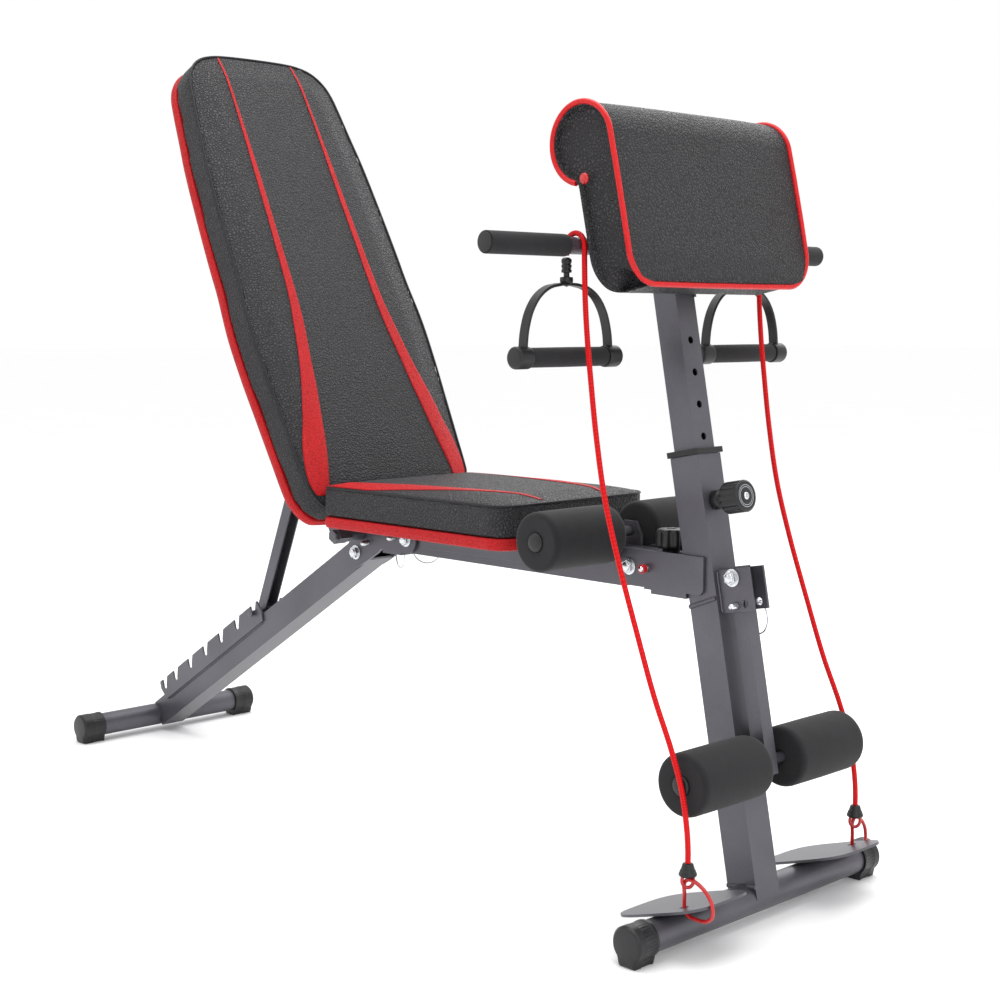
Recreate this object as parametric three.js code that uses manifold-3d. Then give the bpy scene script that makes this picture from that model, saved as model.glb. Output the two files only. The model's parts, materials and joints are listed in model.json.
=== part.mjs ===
// Folding decline sit-up bench with a preacher pad, leg rollers and elastic pull ropes.
// Millimetres, +Z up, +X towards the front post, +Y to the sitter's left.
import * as THREE from 'three';
import { mergeVertices } from 'three/addons/utils/BufferGeometryUtils.js';
import Module from 'manifold-3d';

const wasm = await Module();
wasm.setup();

// ---- driving dimensions -------------------------------------------------------------------
const GAP = 0.3;
const CENTRE_X = 502.15;
const HALF = 20;
const WALL = 2;

const POST_FOOT = [101.63, 50];
const POST_LEAN = 10.65;
const POST_TOP = 474.3;
const INNER = [-36, -4];
const HOLE_PITCH = 36.4;
const LOCK_W = 421.4;
const PULL_HOLES = [-3, -2, -1, 0, 1, 2, 3, 4, 5];

const FRONT_FOOT = { x: 88.1, z: 24.4, end: 216.1, cap: 31, r: 17.5, capR: 20 };
const REAR_FOOT = { x: -1131.8, z: 24.7, end: 160.7, cap: 37, r: 17.5, capR: 20.6 };

const BEAM = [-520, -8.5, 356, 396];
const FRONT_PIVOT = [-83, 381];
const FRONT_PIN = [-57, 381];
const BEAM_BOLT = [-484, 375];
const BEAM_PIN = [-510, 375];
const LEG_PIVOT = [-592, 347];
const LEG_ANGLE = 31.05;
const LEG_PIN_A = 30;
const LEG_END = -622;

const SEAT = [-530, -184, 129.5, 396.3, 452];
const BAND = 14.7;

const BACK_ORIGIN = [-541.45, 450];
const BACK_LEAN = 27.16;
const BACK_DEPTH = 56.5;
const BACK_BOARD = 41;
const HINGE_T = -50;
const HINGE_S = 67;
const STRUT_T = 189.2;
const NOTCH_A = [-572.3, -534.3, -483.5, -432.1, -380.4, -328.6, -277.1];
const NOTCH_B = 29.6;
const BAR_R = 4.3;

const UPPER_AXLE = [-118, 416];
const LOWER_AXLE = [20.5, 128.4];
const ARM_PIVOT_W = 333.8;
const ARM_PIN_W = 302.6;
const ARM_U = 21;
const ROLLER = { r: 33, from: 25.5, to: 141 };

const BAR_W = 709.4;
const BAR_R_TUBE = 9.25;
const BAR_END = 283;
const ROPE_Y = 150;
const ROPE_R = 3;

// ---- materials ------------------------------------------------------------------------------
const finish = (color, roughness, metalness) =>
  new THREE.MeshStandardMaterial({ color, roughness, metalness });
const coat = () => finish(0x4a4a50, 0.5, 0.6);
const zinc = () => finish(0xc9ccd0, 0.3, 0.9);
const black = () => finish(0x17171a, 0.55, 0);
const foam = () => finish(0x1c1c1f, 0.9, 0);
const leather = () => finish(0x2b2b2e, 0.65, 0);
const redVinyl = () => finish(0xc2222a, 0.5, 0);
const redRope = () => finish(0xd0161c, 0.55, 0);

// ---- solids: every helper returns a plain three.js geometry ------------------------------------
const box = (x0, x1, y0, y1, z0, z1) =>
  new THREE.BoxGeometry(x1 - x0, y1 - y0, z1 - z0)
    .translate((x0 + x1) / 2, (y0 + y1) / 2, (z0 + z1) / 2);
const cylY = (r, y0, y1, x, z, n = 24) =>
  new THREE.CylinderGeometry(r, r, y1 - y0, n).translate(x, (y0 + y1) / 2, z);
const cylZ = (r, z0, z1, x, y, n = 24) =>
  new THREE.CylinderGeometry(r, r, z1 - z0, n).rotateX(Math.PI / 2).translate(x, y, (z0 + z1) / 2);
const cylX = (r, x0, x1, y, z, n = 24) =>
  new THREE.CylinderGeometry(r, r, x1 - x0, n).rotateZ(Math.PI / 2).translate((x0 + x1) / 2, y, z);
const prismY = (outline, y0, y1) => {
  const shape = new THREE.Shape(outline.map(([x, z]) => new THREE.Vector2(x, z)));
  return new THREE.ExtrudeGeometry(shape, { depth: y1 - y0, bevelEnabled: false })
    .rotateX(Math.PI / 2).translate(0, y1, 0);
};
const latheY = (profile, n = 24) =>
  new THREE.LatheGeometry(profile.map(([r, y]) => new THREE.Vector2(r, y)), n);
const arc = (cx, cz, r, from, to, n) => Array.from({ length: n + 1 }, (_, i) => {
  const a = THREE.MathUtils.degToRad(from + (to - from) * i / n);
  return [cx + r * Math.cos(a), cz + r * Math.sin(a)];
});

function toManifold(geometry) {
  const g = geometry.clone();
  g.deleteAttribute('normal');
  g.deleteAttribute('uv');
  const m = mergeVertices(g, 1e-4);
  const mesh = new wasm.Mesh({
    numProp: 3,
    vertProperties: new Float32Array(m.attributes.position.array),
    triVerts: new Uint32Array(m.index.array),
  });
  mesh.merge();
  return new wasm.Manifold(mesh);
}

function toGeometry(solid) {
  const mesh = solid.getMesh();
  const g = new THREE.BufferGeometry();
  g.setAttribute('position', new THREE.BufferAttribute(new Float32Array(mesh.vertProperties), 3));
  g.setIndex(new THREE.BufferAttribute(new Uint32Array(mesh.triVerts), 1));
  g.computeVertexNormals();
  return g;
}

const unite = (...list) =>
  toGeometry(list.map(toManifold).reduce((sum, piece) => sum.add(piece)));
const cut = (geometry, ...tools) =>
  toGeometry(tools.map(toManifold).reduce((rest, tool) => rest.subtract(tool), toManifold(geometry)));

function part(parent, name, geometry, material) {
  const mesh = new THREE.Mesh(geometry, material);
  mesh.name = name;
  parent.add(mesh);
  return mesh;
}

// A bolt along Y: hexagon head on the right, shank, nut and thread end on the left.
const bolt = (x, z, r, half, head = 8) => unite(
  cylY(r, -half, half, x, z, 16),
  cylY(head, -half - 6, -half, x, z, 6),
  cylY(head, half, half + 6, x, z, 6),
  cylY(r - 0.5, half, half + 10, x, z, 12),
);

// A quick-release pin along Y: pointed on the right, shouldered head with a ring hole on the left.
const quickPin = (x, z, half) => cut(
  unite(
    latheY([[0, -half - 12], [2.5, -half - 10.5], [4, -half - 8], [4, half], [6, half],
      [6, half + 3], [4.5, half + 5], [4.5, half + 14], [0, half + 14]], 16).translate(x, 0, z),
  ),
  cylX(1.5, x - 8, x + 8, half + 9.5, z, 8),
);

const bench = new THREE.Group();
bench.name = 'decline_sit_up_bench';
const frame = new THREE.Group();
frame.position.x = CENTRE_X;
bench.add(frame);

// ---- front and rear floor tubes ------------------------------------------------------------------
function footTube(prefix, f) {
  const inner = f.end - 4;
  part(frame, `${prefix}_tube`,
    cut(cylY(f.r, -inner, inner, f.x, f.z, 32), cylY(f.r - WALL, -inner - 1, inner + 1, f.x, f.z, 24)), coat());
  const outline = [...arc(f.x, f.z, f.capR, -48, 228, 18), [f.x - 11, 0], [f.x + 11, 0]];
  for (const [side, s] of [['right', -1], ['left', 1]]) {
    const a = s * f.end;
    const b = s * (f.end - f.cap);
    const c = s * (inner + GAP);
    const shell = prismY(outline, Math.min(a, b), Math.max(a, b));
    const bore = cylY(f.r + GAP, Math.min(b - s, c), Math.max(b - s, c), f.x, f.z, 32);
    part(frame, `${prefix}_cap_${side}`, cut(shell, bore), black());
  }
}
footTube('front_foot', FRONT_FOOT);
footTube('rear_foot', REAR_FOOT);

// Two foot pedals welded on the front floor tube, rising to the front, with a rope-hook hole.
const PEDAL = { x: 85.6, y: 123, a: 61.6, b: 50.2, power: 3.8, slope: 0.309, top: 47.64 };
function pedal(s) {
  const outline = Array.from({ length: 40 }, (_, i) => {
    const t = (i / 40) * 2 * Math.PI;
    const c = Math.cos(t);
    const d = Math.sin(t);
    const q = 2 / PEDAL.power;
    return new THREE.Vector2(
      PEDAL.a * Math.sign(c) * Math.abs(c) ** q * Math.sqrt(1 + PEDAL.slope ** 2),
      PEDAL.b * Math.sign(d) * Math.abs(d) ** q,
    );
  });
  const plate = new THREE.ExtrudeGeometry(new THREE.Shape(outline), { depth: 3, bevelEnabled: false });
  plate.translate(0, 0, -3).rotateY(-Math.atan(PEDAL.slope));
  plate.translate(PEDAL.x, s * PEDAL.y, PEDAL.top + PEDAL.slope * (PEDAL.x - 88));
  return cut(plate, cylZ(5, 30, 80, 111, s * 150.6, 20), cylY(FRONT_FOOT.r + GAP, s > 0 ? 60 : -190,
    s > 0 ? 190 : -60, FRONT_FOOT.x, FRONT_FOOT.z, 32));
}
part(frame, 'foot_pedal_right', pedal(-1), coat());
part(frame, 'foot_pedal_left', pedal(1), coat());

// ---- leaning front post: local X is out of its front face, local Z runs up the post ----------------
const post = new THREE.Group();
post.position.set(POST_FOOT[0], 0, POST_FOOT[1]);
post.rotation.y = THREE.MathUtils.degToRad(-POST_LEAN);
frame.add(post);
const lean = THREE.MathUtils.degToRad(POST_LEAN);
const inPost = (x, z) => {
  const rx = x - POST_FOOT[0];
  const rz = z - POST_FOOT[1];
  return [rx * Math.cos(lean) + rz * Math.sin(lean), -rx * Math.sin(lean) + rz * Math.cos(lean)];
};

const [footU, footW] = inPost(FRONT_FOOT.x, FRONT_FOOT.z);
part(post, 'front_post', cut(
  box(-40, 0, -HALF, HALF, footW, POST_TOP),
  box(-40 + WALL, -WALL, -HALF + WALL, HALF - WALL, footW - 5, POST_TOP + 5),
  cylY(FRONT_FOOT.r + GAP, -30, 30, footU, footW, 32),
  cylX(5, -10, 5, 0, LOCK_W, 20),
), coat());

part(post, 'post_collar', cut(
  unite(box(-42.5, 2.5, -22.5, 22.5, POST_TOP + GAP, POST_TOP + 7),
    box(-37.7, -2.3, -17.7, 17.7, POST_TOP - 30, POST_TOP + 1)),
  box(-36.4, -3.6, -16.4, 16.4, POST_TOP - 31, POST_TOP + 8),
), black());

const innerTop = 745;
const tubeWall = 1.8;
const rearTilt = 0.0288;
const padRear = (w) => 3.1 - (w - 653) * rearTilt;
part(post, 'preacher_post', cut(
  unite(
    box(INNER[0], INNER[1], -16, 16, 290, innerTop),
    prismY([[INNER[1] - 1, 668], [padRear(668), 668], [padRear(738), 738], [INNER[1] - 1, 738]], -55, 55),
  ),
  box(INNER[0] + tubeWall, INNER[1] - tubeWall, -16 + tubeWall, 16 - tubeWall, 285, innerTop - 3),
  cylY(BAR_R_TUBE + GAP, -20, 20, -20, BAR_W, 24),
  ...PULL_HOLES.map((k) => cylX(4.3, INNER[1] - 5, INNER[1] + 2, 0, LOCK_W + k * HOLE_PITCH, 16)),
), coat());

// Spring plunger with a fluted knob: its nose stops inside the outer wall.
const knobFlutes = Array.from({ length: 12 }, (_, i) => {
  const a = (i / 12) * 2 * Math.PI;
  return cylX(2.4, 18, 50, 18.6 * Math.cos(a), LOCK_W + 18.6 * Math.sin(a), 8);
});
part(post, 'lock_knob', cut(
  latheY([[0, -3], [4.2, -3], [4.2, 0.3], [11, 0.3], [11, 10], [9, 12], [9, 17], [16, 17.5],
    [18, 20], [18, 43], [16.5, 45], [0, 45]], 36).rotateZ(-Math.PI / 2).translate(0, 0, LOCK_W),
  ...knobFlutes,
), black());

// ---- leg arm in its U bracket on the front face --------------------------------------------------------
const armTop = ARM_PIVOT_W + 11.5;
part(post, 'arm_bracket', cut(
  box(GAP, 45, -14, 14, 295.6, 343.4),
  box(3.3, 50, -11, 11, 290, 350),
  cylY(5.4, -20, 20, ARM_U, ARM_PIVOT_W, 16),
  cylY(4.4, -20, 20, ARM_U, ARM_PIN_W, 16),
  cylY(4.4, -20, 20, 33.7, 303.9, 16),
), coat());

const armPinOffset = ARM_PIVOT_W - ARM_PIN_W;
part(post, 'leg_arm', cut(
  box(ARM_U - 9, ARM_U + 9, -9, 9, 113.5, armTop),
  box(ARM_U - 7.5, ARM_U + 7.5, -7.5, 7.5, 116, armTop + 5),
  cylY(5.4, -12, 12, ARM_U, ARM_PIVOT_W, 16),
  prismY([...arc(ARM_U, ARM_PIVOT_W, armPinOffset + 4.6, -82, -118, 8),
    ...arc(ARM_U, ARM_PIVOT_W, armPinOffset - 4.6, -118, -82, 8)], -12, 12),
  cylY(6.4, -12, 12, LOWER_AXLE[0], LOWER_AXLE[1], 24),
), coat());
part(post, 'arm_pivot_bolt', bolt(ARM_U, ARM_PIVOT_W, 5, 14.3, 8), zinc());
part(post, 'arm_lock_pin', quickPin(ARM_U, ARM_PIN_W, 14.5), zinc());

// ---- foam rollers and their axles ----------------------------------------------------------------------
const axleProfile = (half) => [[0, -half - 3], [7, -half - 2.5], [10, -half - 1], [10, -half], [6, -half],
  [6, half], [10, half], [10, half + 1], [7, half + 2.5], [0, half + 3]];
const rollerProfile = [[6.6, ROLLER.from], [26, ROLLER.from], [31, ROLLER.from + 2], [33, ROLLER.from + 7],
  [33, ROLLER.to - 7], [31, ROLLER.to - 2], [26, ROLLER.to], [6.6, ROLLER.to], [6.6, ROLLER.from]];
function rollerSet(parent, name, x, z) {
  part(parent, `${name}_axle`, latheY(axleProfile(ROLLER.to + GAP), 24).translate(x, 0, z), coat());
  part(parent, `${name}_roller_left`, latheY(rollerProfile, 32).translate(x, 0, z), foam());
  const right = latheY(rollerProfile, 32).rotateZ(Math.PI).translate(x, 0, z);
  part(parent, `${name}_roller_right`, right, foam());
}
rollerSet(post, 'lower', LOWER_AXLE[0], LOWER_AXLE[1]);
rollerSet(frame, 'upper', UPPER_AXLE[0], UPPER_AXLE[1]);

// Saddle on the beam that holds the upper axle, and the star knob that clamps it down.
part(frame, 'upper_axle_saddle', cut(
  unite(
    box(-150, -20, -19, 19, 396.3, 399.3),
    prismY([[-136, 398], [-136, 412], [-128, 428], [-108, 428], [-100, 412], [-100, 398]], -19, -15),
    prismY([[-136, 398], [-136, 412], [-128, 428], [-108, 428], [-100, 412], [-100, 398]], 15, 19),
  ),
  cylY(6.4, -30, 30, UPPER_AXLE[0], UPPER_AXLE[1], 24),
  cylZ(4.4, 390, 405, -40, 0, 16),
), coat());
const starLobes = Array.from({ length: 7 }, (_, i) => {
  const a = ((i + 0.5) / 7) * 2 * Math.PI;
  return cylZ(4, 402, 423.2, -40 + 17.5 * Math.cos(a), 17.5 * Math.sin(a), 10);
});
part(frame, 'clamp_knob', cut(
  latheY([[0, -13], [4, -13], [4, 0], [10, 0], [10, 3.4], [15, 4.4], [15, 23.4], [18, 24], [18, 26.6],
    [16, 27.4], [0, 27.4]], 28).rotateX(Math.PI / 2).translate(-40, 0, 399.6),
  ...starLobes,
), black());

// ---- front fold bracket and main beam ---------------------------------------------------------------------
const cheek = (y0, y1) => prismY([
  ...arc(FRONT_PIVOT[0], FRONT_PIVOT[1] - 0.5, 22, 90, 270, 12),
  [22, 358.5], [27, 363.5], [27, 402],
], y0, y1);
part(frame, 'front_bracket', cut(
  unite(
    cheek(-23.8, -20.3),
    cheek(20.3, 23.8),
    box(-50, 2.4, -23.8, 23.8, 352.2, 355.7),
    box(-50, 2.4, -23.8, -20.3, 355, 362),
    box(-50, 2.4, 20.3, 23.8, 355, 362),
  ),
  cylY(5.4, -30, 30, ...FRONT_PIVOT, 16),
  cylY(4.4, -30, 30, ...FRONT_PIN, 16),
), coat());
part(frame, 'front_pivot_bolt', bolt(...FRONT_PIVOT, 5, 24.1), zinc());
part(frame, 'front_lock_pin', quickPin(...FRONT_PIN, 24.1), zinc());

// The lock slot in the beam is an open arc, so the folded bracket carries its pin clear.
const pinArc = FRONT_PIN[0] - FRONT_PIVOT[0];
part(frame, 'main_beam', cut(
  box(BEAM[0], BEAM[1], -HALF, HALF, BEAM[2], BEAM[3]),
  box(BEAM[0] - 5, BEAM[1] + 5, -HALF + WALL, HALF - WALL, BEAM[2] + WALL, BEAM[3] - WALL),
  cylY(5.4, -30, 30, ...FRONT_PIVOT, 16),
  prismY([...arc(...FRONT_PIVOT, pinArc + 4.6, 6, -113, 24), ...arc(...FRONT_PIVOT, pinArc - 4.6, -113, 6, 24)],
    -30, 30),
  cylY(4.4, -30, 30, ...FRONT_PIN, 16),
  cylY(5.4, -30, 30, ...BEAM_BOLT, 16),
  cylY(4.4, -30, 30, ...BEAM_PIN, 16),
  cylZ(4.4, 380, 400, -40, 0, 16),
), coat());

// ---- seat ------------------------------------------------------------------------------------------------------
function seatSlab(z0, z1, grow, front, rear) {
  const [x0, x1, half] = SEAT;
  const s = new THREE.Shape();
  const a = x0 - grow;
  const b = x1 + grow;
  const h = half + grow;
  s.moveTo(a + rear, -h);
  s.lineTo(b - front, -h);
  s.absarc(b - front, -h + front, front, -Math.PI / 2, 0);
  s.lineTo(b, h - front);
  s.absarc(b - front, h - front, front, 0, Math.PI / 2);
  s.lineTo(a + rear, h);
  s.absarc(a + rear, h - rear, rear, Math.PI / 2, Math.PI);
  s.lineTo(a, -h + rear);
  s.absarc(a + rear, -h + rear, rear, Math.PI, Math.PI * 1.5);
  return new THREE.ExtrudeGeometry(s, { depth: z1 - z0, bevelEnabled: false, curveSegments: 6 }).translate(0, 0, z0);
}
const bandTop = SEAT[3] + BAND;
part(frame, 'seat_board', seatSlab(SEAT[3], bandTop - GAP, 0, 30, 8), redVinyl());
part(frame, 'seat_pad', seatSlab(bandTop, SEAT[4], 0, 30, 8), leather());
for (const [side, s] of [['right', -1], ['left', 1]]) {
  const y = (from, to) => (s > 0 ? [from, to] : [-to, -from]);
  part(frame, `seat_rail_${side}`,
    unite(box(-455, -205, ...y(20.3, 75), 393, 396), box(-455, -205, ...y(20.3, 23.3), 366, 396)), coat());
}

// ---- rear fold bracket: beam end, rear leg pivot and backrest hinge studs -----------------------------------
const back = THREE.MathUtils.degToRad(BACK_LEAN);
const fromBack = (s, t) => [
  BACK_ORIGIN[0] - t * Math.sin(back) - s * Math.cos(back),
  BACK_ORIGIN[1] + t * Math.cos(back) - s * Math.sin(back),
];
const hinge = fromBack(HINGE_S, HINGE_T);
const plate = (y0, y1) => prismY([
  ...arc(...BEAM_BOLT, 19.5, -110, 90, 10),
  [-556, 394.5],
  ...arc(hinge[0], hinge[1], 15.5, 62, 175, 6),
  ...arc(...LEG_PIVOT, 22, 165, 270, 6),
  [-580, 331], [-546, 350], [-537, 357],
], y0, y1);
const stud = (s) => {
  const y = (from, to) => (s > 0 ? [from, to] : [-to, -from]);
  return [cylY(5, ...y(22, 72), ...hinge, 16), cylY(8.5, ...y(70.6, 76), ...hinge, 6)];
};
part(frame, 'rear_bracket', cut(
  unite(
    plate(-24.3, -20.3),
    plate(20.3, 24.3),
    box(-534, -494, -24.3, 24.3, 352.2, 355.7),
    box(-534, -494, -24.3, -20.3, 354, 362),
    box(-534, -494, 20.3, 24.3, 354, 362),
    ...stud(-1),
    ...stud(1),
  ),
  cylY(5.4, -30, 30, ...BEAM_BOLT, 16),
  cylY(4.4, -30, 30, ...BEAM_PIN, 16),
  cylY(5.4, -30, 30, ...LEG_PIVOT, 16),
  cylY(4.4, -30, 30, LEG_PIVOT[0] + LEG_PIN_A * Math.cos(THREE.MathUtils.degToRad(LEG_ANGLE)),
    LEG_PIVOT[1] + LEG_PIN_A * Math.sin(THREE.MathUtils.degToRad(LEG_ANGLE)), 16),
), coat());
part(frame, 'beam_bolt', bolt(...BEAM_BOLT, 5, 24.6), zinc());
part(frame, 'beam_lock_pin', quickPin(...BEAM_PIN, 24.6), zinc());

// ---- rear leg: local X runs up the leg from its pivot, local Z is out of its top face -----------------------
const leg = new THREE.Group();
leg.position.set(LEG_PIVOT[0], 0, LEG_PIVOT[1]);
leg.rotation.y = THREE.MathUtils.degToRad(-LEG_ANGLE);
frame.add(leg);
const la = THREE.MathUtils.degToRad(LEG_ANGLE);
const inLeg = (x, z) => {
  const rx = x - LEG_PIVOT[0];
  const rz = z - LEG_PIVOT[1];
  return [rx * Math.cos(la) + rz * Math.sin(la), -rx * Math.sin(la) + rz * Math.cos(la)];
};
const [rearA, rearB] = inLeg(REAR_FOOT.x, REAR_FOOT.z);
const legOutline = [
  [LEG_END, -HALF], [14, -HALF],
  ...arc(0, 0, LEG_PIN_A - 4.6, -52, 9, 6),
  [LEG_PIN_A, 4.6], [37, 4.6], [37, 12], [28, HALF], [LEG_END, HALF],
];
part(leg, 'rear_leg', cut(
  prismY(legOutline, -HALF, HALF),
  box(LEG_END - 5, 60, -HALF + WALL, HALF - WALL, -HALF + WALL, HALF - WALL),
  cylY(5.4, -30, 30, 0, 0, 16),
  cylY(REAR_FOOT.r + GAP, -30, 30, rearA, rearB, 32),
), coat());
part(leg, 'leg_pivot_bolt', bolt(0, 0, 5, 24.6), zinc());
part(leg, 'leg_lock_pin', quickPin(LEG_PIN_A, 0, 24.6), zinc());

const notch = (a) => prismY([
  ...arc(a, NOTCH_B, 4.8, 180, 355, 7), [a + 16, 43], [a - 1.5, 43],
], -40, 40);
const ladder = (y0, y1) => cut(
  prismY([[-579, 9.5], [-260.5, 9.5], [-257, 22], [-259.5, 41.5], [-583, 41.5], [-586, 30]], y0, y1),
  ...NOTCH_A.map(notch),
);
part(leg, 'ladder_plate_right', ladder(-23.3, -20.3), coat());
part(leg, 'ladder_plate_left', ladder(20.3, 23.3), coat());

// ---- backrest: local X is out of the pad face, local Z runs up the pad ----------------------------------------
const rest = new THREE.Group();
rest.position.set(BACK_ORIGIN[0], 0, BACK_ORIGIN[1]);
rest.rotation.y = -back;
frame.add(rest);

const backHalf = [[-36, 112], [-34, 120], [-25, 131], [-12, 139], [0, 143.5], [60, 148], [120, 151.5], [180, 155],
  [244, 156], [310, 151.5], [350, 150.5], [428, 147], [507, 141.8], [547, 137], [600, 131], [622, 127.5],
  [640, 121], [655, 110], [665, 96], [671, 78], [674, 55]];
const backShape = (grow) => {
  const right = backHalf.map(([t, h]) => new THREE.Vector2(h + grow, t));
  return new THREE.Shape([...right, ...right.map((p) => new THREE.Vector2(-p.x, p.y)).reverse()]);
};
// Shape (y, t) extruded along local -X: depth s0..s1 behind the pad face.
const slab = (shape, s0, s1) => new THREE.ExtrudeGeometry(shape, { depth: s1 - s0, bevelEnabled: false })
  .rotateX(Math.PI / 2).rotateZ(Math.PI / 2).translate(-s1, 0, 0);
const round = 18;
const keepOut = prismY([[2, -60], ...arc(-round, -36 + round, round, 0, -90, 6), [-round, -60]], -170, 170);
part(rest, 'backrest_pad', cut(slab(backShape(0), 0, BACK_BOARD), keepOut), leather());
part(rest, 'backrest_board', slab(backShape(0), BACK_BOARD + GAP, BACK_DEPTH), redVinyl());

const railS = (s) => [-(HINGE_S + 10), -(HINGE_S - 10)];
const railBox = (y0, y1, t0, t1) => box(...railS(), y0, y1, t0, t1);
part(rest, 'backrest_frame', cut(
  unite(
    railBox(-70, -50, -58, 500), railBox(50, 70, -58, 500),
    cylY(9.4, -52, -25, -HINGE_S, HINGE_T, 20), cylY(9.4, 25, 52, -HINGE_S, HINGE_T, 20),
    railBox(-52, 52, 20, 40), railBox(-52, 52, 430, 450),
  ),
  cylY(5.4, -80, 80, -HINGE_S, HINGE_T, 16),
  cylY(5.4, -80, 80, -HINGE_S, STRUT_T, 16),
), coat());
part(rest, 'strut_pivot_bolt', unite(
  cylY(5, -70.3, 70.3, -HINGE_S, STRUT_T, 16),
  cylY(8, -76, -70.3, -HINGE_S, STRUT_T, 6),
  cylY(8, 70.3, 76, -HINGE_S, STRUT_T, 6),
), zinc());

// ---- prop strut: hangs from the backrest frame, its cross bar sits between the ladder plates ----------------
const strutTop = fromBack(HINGE_S, STRUT_T);
const barX = LEG_PIVOT[0] + NOTCH_A[6] * Math.cos(la) - NOTCH_B * Math.sin(la);
const barZ = LEG_PIVOT[1] + NOTCH_A[6] * Math.sin(la) + NOTCH_B * Math.cos(la);
const strutLength = Math.hypot(strutTop[0] - barX, strutTop[1] - barZ);
const strut = new THREE.Group();
strut.position.set(strutTop[0], 0, strutTop[1]);
strut.rotation.y = Math.atan2(strutTop[0] - barX, strutTop[1] - barZ);
frame.add(strut);
part(strut, 'prop_strut', cut(
  unite(
    prismY([[-9.5, -strutLength + 3], [2, -strutLength + 3], [9.5, -strutLength + 12], [9.5, -4],
      ...arc(0, 0, 9.5, 0, 180, 8)], -10, 10),
    cylY(BAR_R, -19.4, 19.4, 0, -strutLength, 16),
    prismY([[-5.5, -strutLength - 1], [1, -strutLength - 2], [3, -strutLength + 6], [-5.5, -strutLength + 6]], -10, 10),
  ),
  box(-7.5, 7.5, -8, 8, -strutLength + 14, -11),
  box(-4, 20, -8, 8, -strutLength + 14, -60),
  cylY(5.4, -20, 20, 0, 0, 16),
), coat());

// ---- preacher pad and handle bar -------------------------------------------------------------------------------
const curlU = 10.8;
const curlW = 813;
const curlR = 42.3;
const padProfile = [
  [padRear(653) + GAP, 653], [58.4, 653], [curlU + curlR, curlW],
  ...arc(curlU, curlW, curlR, 6, 250, 22),
  [padRear(771) + GAP, 771],
];
const padCorner = (s) => {
  const r = 38;
  const c = [s * (154 - r), 653 + r];
  const pts = [[s * 160, 640], [s * 160, c[1]], ...Array.from({ length: 9 }, (_, i) => {
    const a = (i / 8) * Math.PI / 2;
    return [c[0] + s * r * Math.cos(a), c[1] - r * Math.sin(a)];
  }), [c[0], 640]];
  const shape = new THREE.Shape(pts.map(([y, w]) => new THREE.Vector2(y, w)));
  return new THREE.ExtrudeGeometry(shape, { depth: 90, bevelEnabled: false })
    .rotateX(Math.PI / 2).rotateZ(Math.PI / 2).translate(-15, 0, 0);
};
part(post, 'preacher_pad', cut(prismY(padProfile, -154, 154), padCorner(1), padCorner(-1)), leather());

part(post, 'handle_bar', cut(
  cylY(BAR_R_TUBE, -BAR_END + 3, BAR_END - 3, -20, BAR_W, 24),
  cylY(BAR_R_TUBE - 1.8, -BAR_END, BAR_END, -20, BAR_W, 16),
), coat());
for (const [side, s] of [['right', -1], ['left', 1]]) {
  const grip = latheY([[BAR_R_TUBE + GAP, 165], [11.4, 165], [12, 167], [12, 280], [10.5, BAR_END], [0, BAR_END],
    [0, BAR_END - 2.5], [BAR_R_TUBE + GAP, BAR_END - 2.5], [BAR_R_TUBE + GAP, 165]], 24);
  if (s < 0) grip.rotateZ(Math.PI);
  part(post, `bar_grip_${side}`, grip.translate(-20, 0, BAR_W), foam());
}

// ---- elastic pull ropes, their stops, hooks and D handles --------------------------------------------------
const barCentre = [-49.1, 743.5];
const loop = 13.4;
const ropeRun = [[-4.5, 473.4], [14.7, 410.7], [42, 336], [67, 271], [91, 218.9], [105.5, 179.1],
  [113.2, 138.1], [114.9, 117.2], [115, 103.4]];
function ropeCurve(y) {
  const pts = [[-62.3, 733.4]];
  for (const [x, z] of arc(barCentre[0], barCentre[1], loop, 172, 8, 9)) pts.push([x, z]);
  pts.push([-35.6, 728], [-34.4, 686], [-31, 643], [-26, 601], [-17.5, 540], ...ropeRun);
  return new THREE.CatmullRomCurve3(pts.map(([x, z]) => new THREE.Vector3(x, y, z)), false, 'centripetal');
}
const circle = (r, n) => new THREE.Shape(Array.from({ length: n }, (_, i) =>
  new THREE.Vector2(r * Math.cos(2 * Math.PI * i / n), r * Math.sin(2 * Math.PI * i / n))));

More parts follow.
